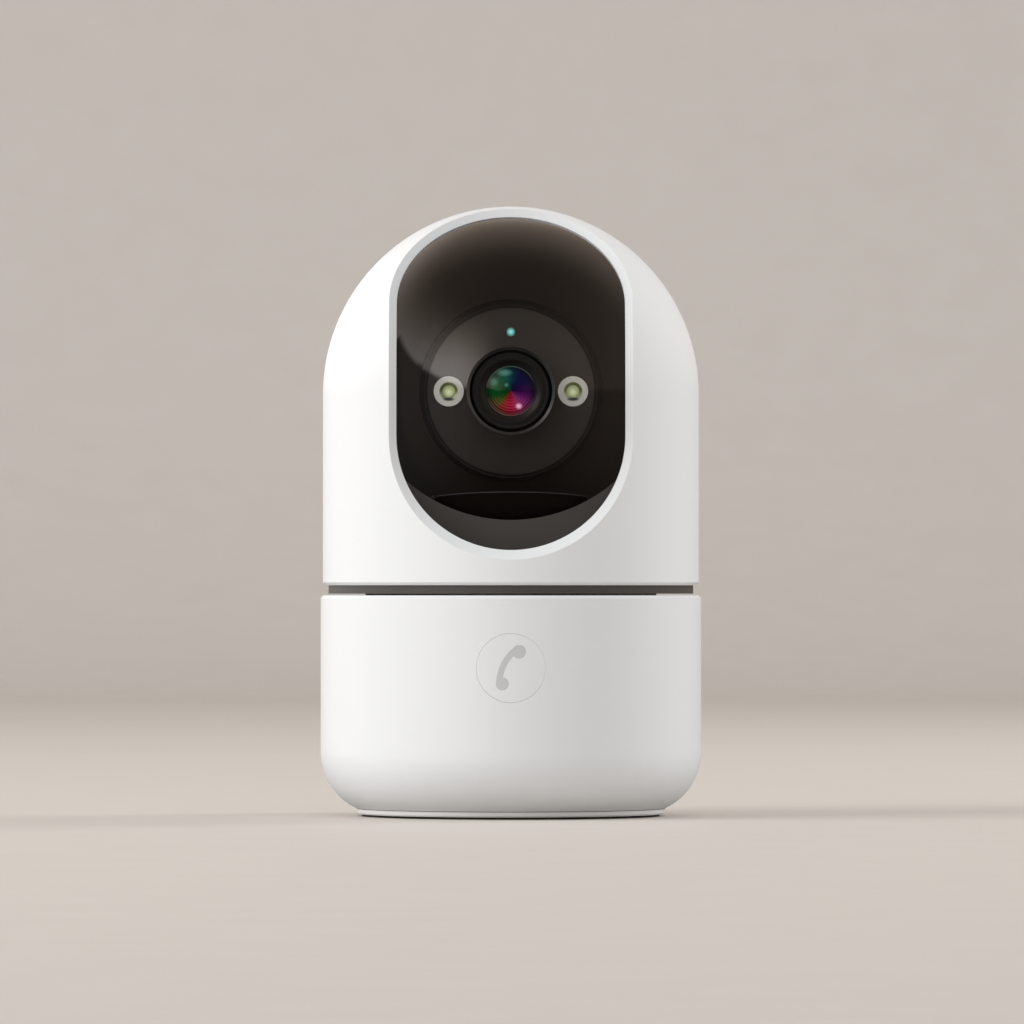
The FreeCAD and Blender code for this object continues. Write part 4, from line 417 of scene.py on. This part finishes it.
def materials():
    """Every material by its slot's name."""
    return {
        "shell_white": moulded("shell_white", SHELL, roughness=0.42, spread=0.008),
        # The button's hidden part gets a painted glow, which lightens the gap round it.
        "button_white": moulded("button_white", SHELL, roughness=0.38, spread=0.008, painted_glow=0.27),
        "sign_grey": moulded("sign_grey", (0.565, 0.575, 0.585), roughness=0.5, spread=0.03),
        "band_dark": moulded("band_dark", (0.075, 0.068, 0.062), roughness=0.5),
        "cover_white": moulded("cover_white", (0.74, 0.74, 0.73), roughness=0.5, grain=0.0003),
        "pad_rubber": moulded("pad_rubber", (0.022, 0.021, 0.02), roughness=0.75, grain=0.0004,
                              depth=0.00002),
        "insert_brass": metal("insert_brass", (0.74, 0.55, 0.25), lines=(1, 1, 0.1)),
        "screw_steel": metal("screw_steel", (0.56, 0.56, 0.57)),
        "board_green": board("board_green", (0.012, 0.085, 0.035), (0.75, 0.62, 0.32)),
        "board_black": board("board_black", (0.012, 0.012, 0.013), (0.6, 0.5, 0.3)),
        "chip_black": moulded("chip_black", (0.02, 0.02, 0.021), roughness=0.55),
        "tinned_steel": metal("tinned_steel", (0.66, 0.66, 0.65), roughness=0.35, lines=(0.1, 1, 1)),
        "socket_cream": moulded("socket_cream", (0.72, 0.67, 0.52), roughness=0.5),
        "speaker_black": moulded("speaker_black", (0.025, 0.025, 0.026), roughness=0.5),
        "diaphragm_grey": moulded("diaphragm_grey", (0.07, 0.07, 0.075), roughness=0.35),
        "magnet_steel": metal("magnet_steel", (0.42, 0.42, 0.43)),
        "antenna_amber": moulded("antenna_amber", (0.42, 0.19, 0.03), roughness=0.3),
        "boot_rubber": moulded("boot_rubber", (0.02, 0.02, 0.02), roughness=0.7),
        "acetal_white": moulded("acetal_white", (0.74, 0.72, 0.66), roughness=0.4),
        "motor_steel": metal("motor_steel", (0.6, 0.6, 0.59), lines=(1, 1, 0.15)),
        "shaft_steel": metal("shaft_steel", (0.6, 0.6, 0.61), roughness=0.22),
        "clip_steel": metal("clip_steel", (0.2, 0.2, 0.2), roughness=0.4),
        "yoke_grey": moulded("yoke_grey", (0.03, 0.029, 0.028), roughness=0.55),
        "guard_grey": moulded("guard_grey", (0.075, 0.067, 0.062), roughness=0.4),
        "ball_black": glossy_ball(),
        "window_clear": lens_cover(),
        "plate_dark": moulded("plate_dark", (0.0255, 0.0225, 0.0215), roughness=0.5, grain=0.0003),
        "reflector_white": lamp_cup(),
        "lamp_yellow": phosphor(),
        "status_cyan": lit_dot(),
        "barrel_black": stepped_barrel(),
        "lens_coated": lens_with_painted_reflections(),
        "filter_blue": clear("filter_blue", (0.55, 0.75, 0.9)),
        "sensor_dark": moulded("sensor_dark", (0.05, 0.05, 0.09), roughness=0.15),
    }


made = materials()
for entry in frame["record"]["subparts"]:
    node = nodes[entry["node"]]
    node.data.materials.clear()
    node.data.materials.append(made[entry["material_slot"]])
# The lens ball's gloss mirrors the studio, and not the slot's wall or the guard close round it.
for name in ("head_front_shell", "dust_guard"):
    nodes[name].visible_glossy = False


# ---------------------------------------------------------------- floor, light and camera
# Sizes in this section are in metres.

FLOOR_HALF_WIDTH = 3.0
FLOOR_FRONT, FLOOR_BACK = -3.0, 1.6
BEND_RADIUS, BEND_STEPS = 0.5, 12
BACKDROP_HEIGHT = 3.0


def floor_material():
    shader = new_material("floor_pale")
    speck = shader.noise(60, detail=4)
    tone = shader.mix(speck, (0.60, 0.555, 0.515), (0.64, 0.595, 0.555))
    shader.principled(Base_Color=tone, Roughness=0.6)
    return shader.owner


def sweep():
    """A plain floor that curves up into a plain backdrop, and that gloss doesn't mirror."""
    mesh = bpy.data.meshes.new("floor")
    work = bmesh.new()
    profile = [(FLOOR_FRONT, 0.0), (FLOOR_BACK, 0.0)]
    for step in range(1, BEND_STEPS + 1):
        angle = math.radians(90 * step / BEND_STEPS)
        profile.append((FLOOR_BACK + BEND_RADIUS * math.sin(angle), BEND_RADIUS * (1 - math.cos(angle))))
    profile.append((FLOOR_BACK + BEND_RADIUS, BACKDROP_HEIGHT))
    left, right = [[work.verts.new((side * FLOOR_HALF_WIDTH, y, z)) for y, z in profile] for side in (-1, 1)]
    for first in range(len(profile) - 1):
        work.faces.new((left[first], right[first], right[first + 1], left[first + 1]))
    work.to_mesh(mesh)
    work.free()
    floor = bpy.data.objects.new("floor", mesh)
    floor.visible_glossy = False
    bpy.context.scene.collection.objects.link(floor)
    for face in mesh.polygons:
        face.use_smooth = True
    mesh.materials.append(floor_material())
    return floor


sweep()

LIGHT_TARGET = (0, 0, 0.06)


def area_light(name, place, width, height, power):
    """A soft white light toward the object, which gloss doesn't mirror."""
    light = bpy.data.lights.new(name, "AREA")
    light.shape = "RECTANGLE"
    light.size, light.size_y = width, height
    light.energy = power
    lamp = bpy.data.objects.new(name, light)
    lamp.location = place
    lamp.rotation_euler = (Vector(LIGHT_TARGET) - Vector(place)).to_track_quat("-Z", "Y").to_euler()
    lamp.visible_glossy = False
    bpy.context.scene.collection.objects.link(lamp)


area_light("key", (-1.3, -0.45, 0.7), 1.1, 1.3, 15.3)
area_light("rim", (1.1, 0.55, 0.5), 0.5, 1.0, 8.0)

# Strengths of the world's light: the even light that falls on every surface, and then what gloss mirrors.
EVEN_LIGHT = 0.796
PANEL_LIGHT = 1.6
WALL_LIGHT, SIDE_WALL_LIGHT = 0.17, 0.28
BACK_WALL_LIGHT = 0.3
FLOOR_LIGHT, SIDE_FLOOR_LIGHT = 0.015, 0.25


def studio_world():
    """Even white light all round. Gloss mirrors a darker studio: a bright low panel at the left, dimmer walls
    and a dark floor, whose edge rises at the front left."""
    world = bpy.data.worlds.new("studio")
    shader = Shader(world, "OutputWorld")
    x, y, z = shader.parts(shader.node("TexCoord").outputs["Generated"])
    side = shader.math("MULTIPLY", x, x)
    left = shader.step(x, -0.05, -0.6)
    low = shader.step(z, 0.88, 0.2)
    panel = shader.math("MULTIPLY", shader.math("MULTIPLY", left, low), PANEL_LIGHT)
    walls = shader.math("ADD", shader.math("MULTIPLY", side, SIDE_WALL_LIGHT), WALL_LIGHT)
    back = shader.math("MULTIPLY", shader.step(y, 0.0, 0.65), BACK_WALL_LIGHT)
    upper = shader.math("ADD", shader.math("ADD", panel, walls), back)
    lower = shader.math("ADD", shader.math("MULTIPLY", side, SIDE_FLOOR_LIGHT), FLOOR_LIGHT)
    slope = shader.math("MAXIMUM", shader.math("ADD", shader.math("MULTIPLY", y, 0.48), 0.44), 0.0)
    slope = shader.math("MULTIPLY", slope, shader.step(y, 0.12, -0.02))
    edge = shader.math("MULTIPLY", slope, shader.step(x, 0.0, -0.3))
    above = shader.step(shader.math("SUBTRACT", z, edge), 0.0, 0.07)
    tint = shader.mix(shader.math("MULTIPLY", panel, 0.6), (1.0, 0.80, 0.65), (1.0, 0.94, 0.90))
    mirrored = shader.node("Background", Color=tint, Strength=shader.between(above, lower, upper))
    even = shader.node("Background", Color=(1, 1, 1, 1), Strength=EVEN_LIGHT)
    glossy = shader.node("LightPath").outputs["Is Glossy Ray"]
    shader.finish(shader.mix_surfaces(glossy, even, mirrored).outputs[0])
    return world


scene = bpy.context.scene
scene.world = studio_world()

EYE = Vector((0.0002, -1.55, 0.0403))
AIM_HEIGHT = 0.0543
FOCAL_LENGTH, SENSOR_WIDTH = 304.8, 36  # in millimetres
view = bpy.data.cameras.new("view")
view.sensor_width = SENSOR_WIDTH
view.lens = FOCAL_LENGTH
camera = bpy.data.objects.new("view", view)
camera.location = EYE
camera.rotation_euler = (math.radians(90) + math.atan2(AIM_HEIGHT - EYE.z, -EYE.y), 0, 0)
scene.collection.objects.link(camera)
bpy.context.scene.camera = camera

scene.view_settings.view_transform = "Standard"
scene.view_settings.look = "None"
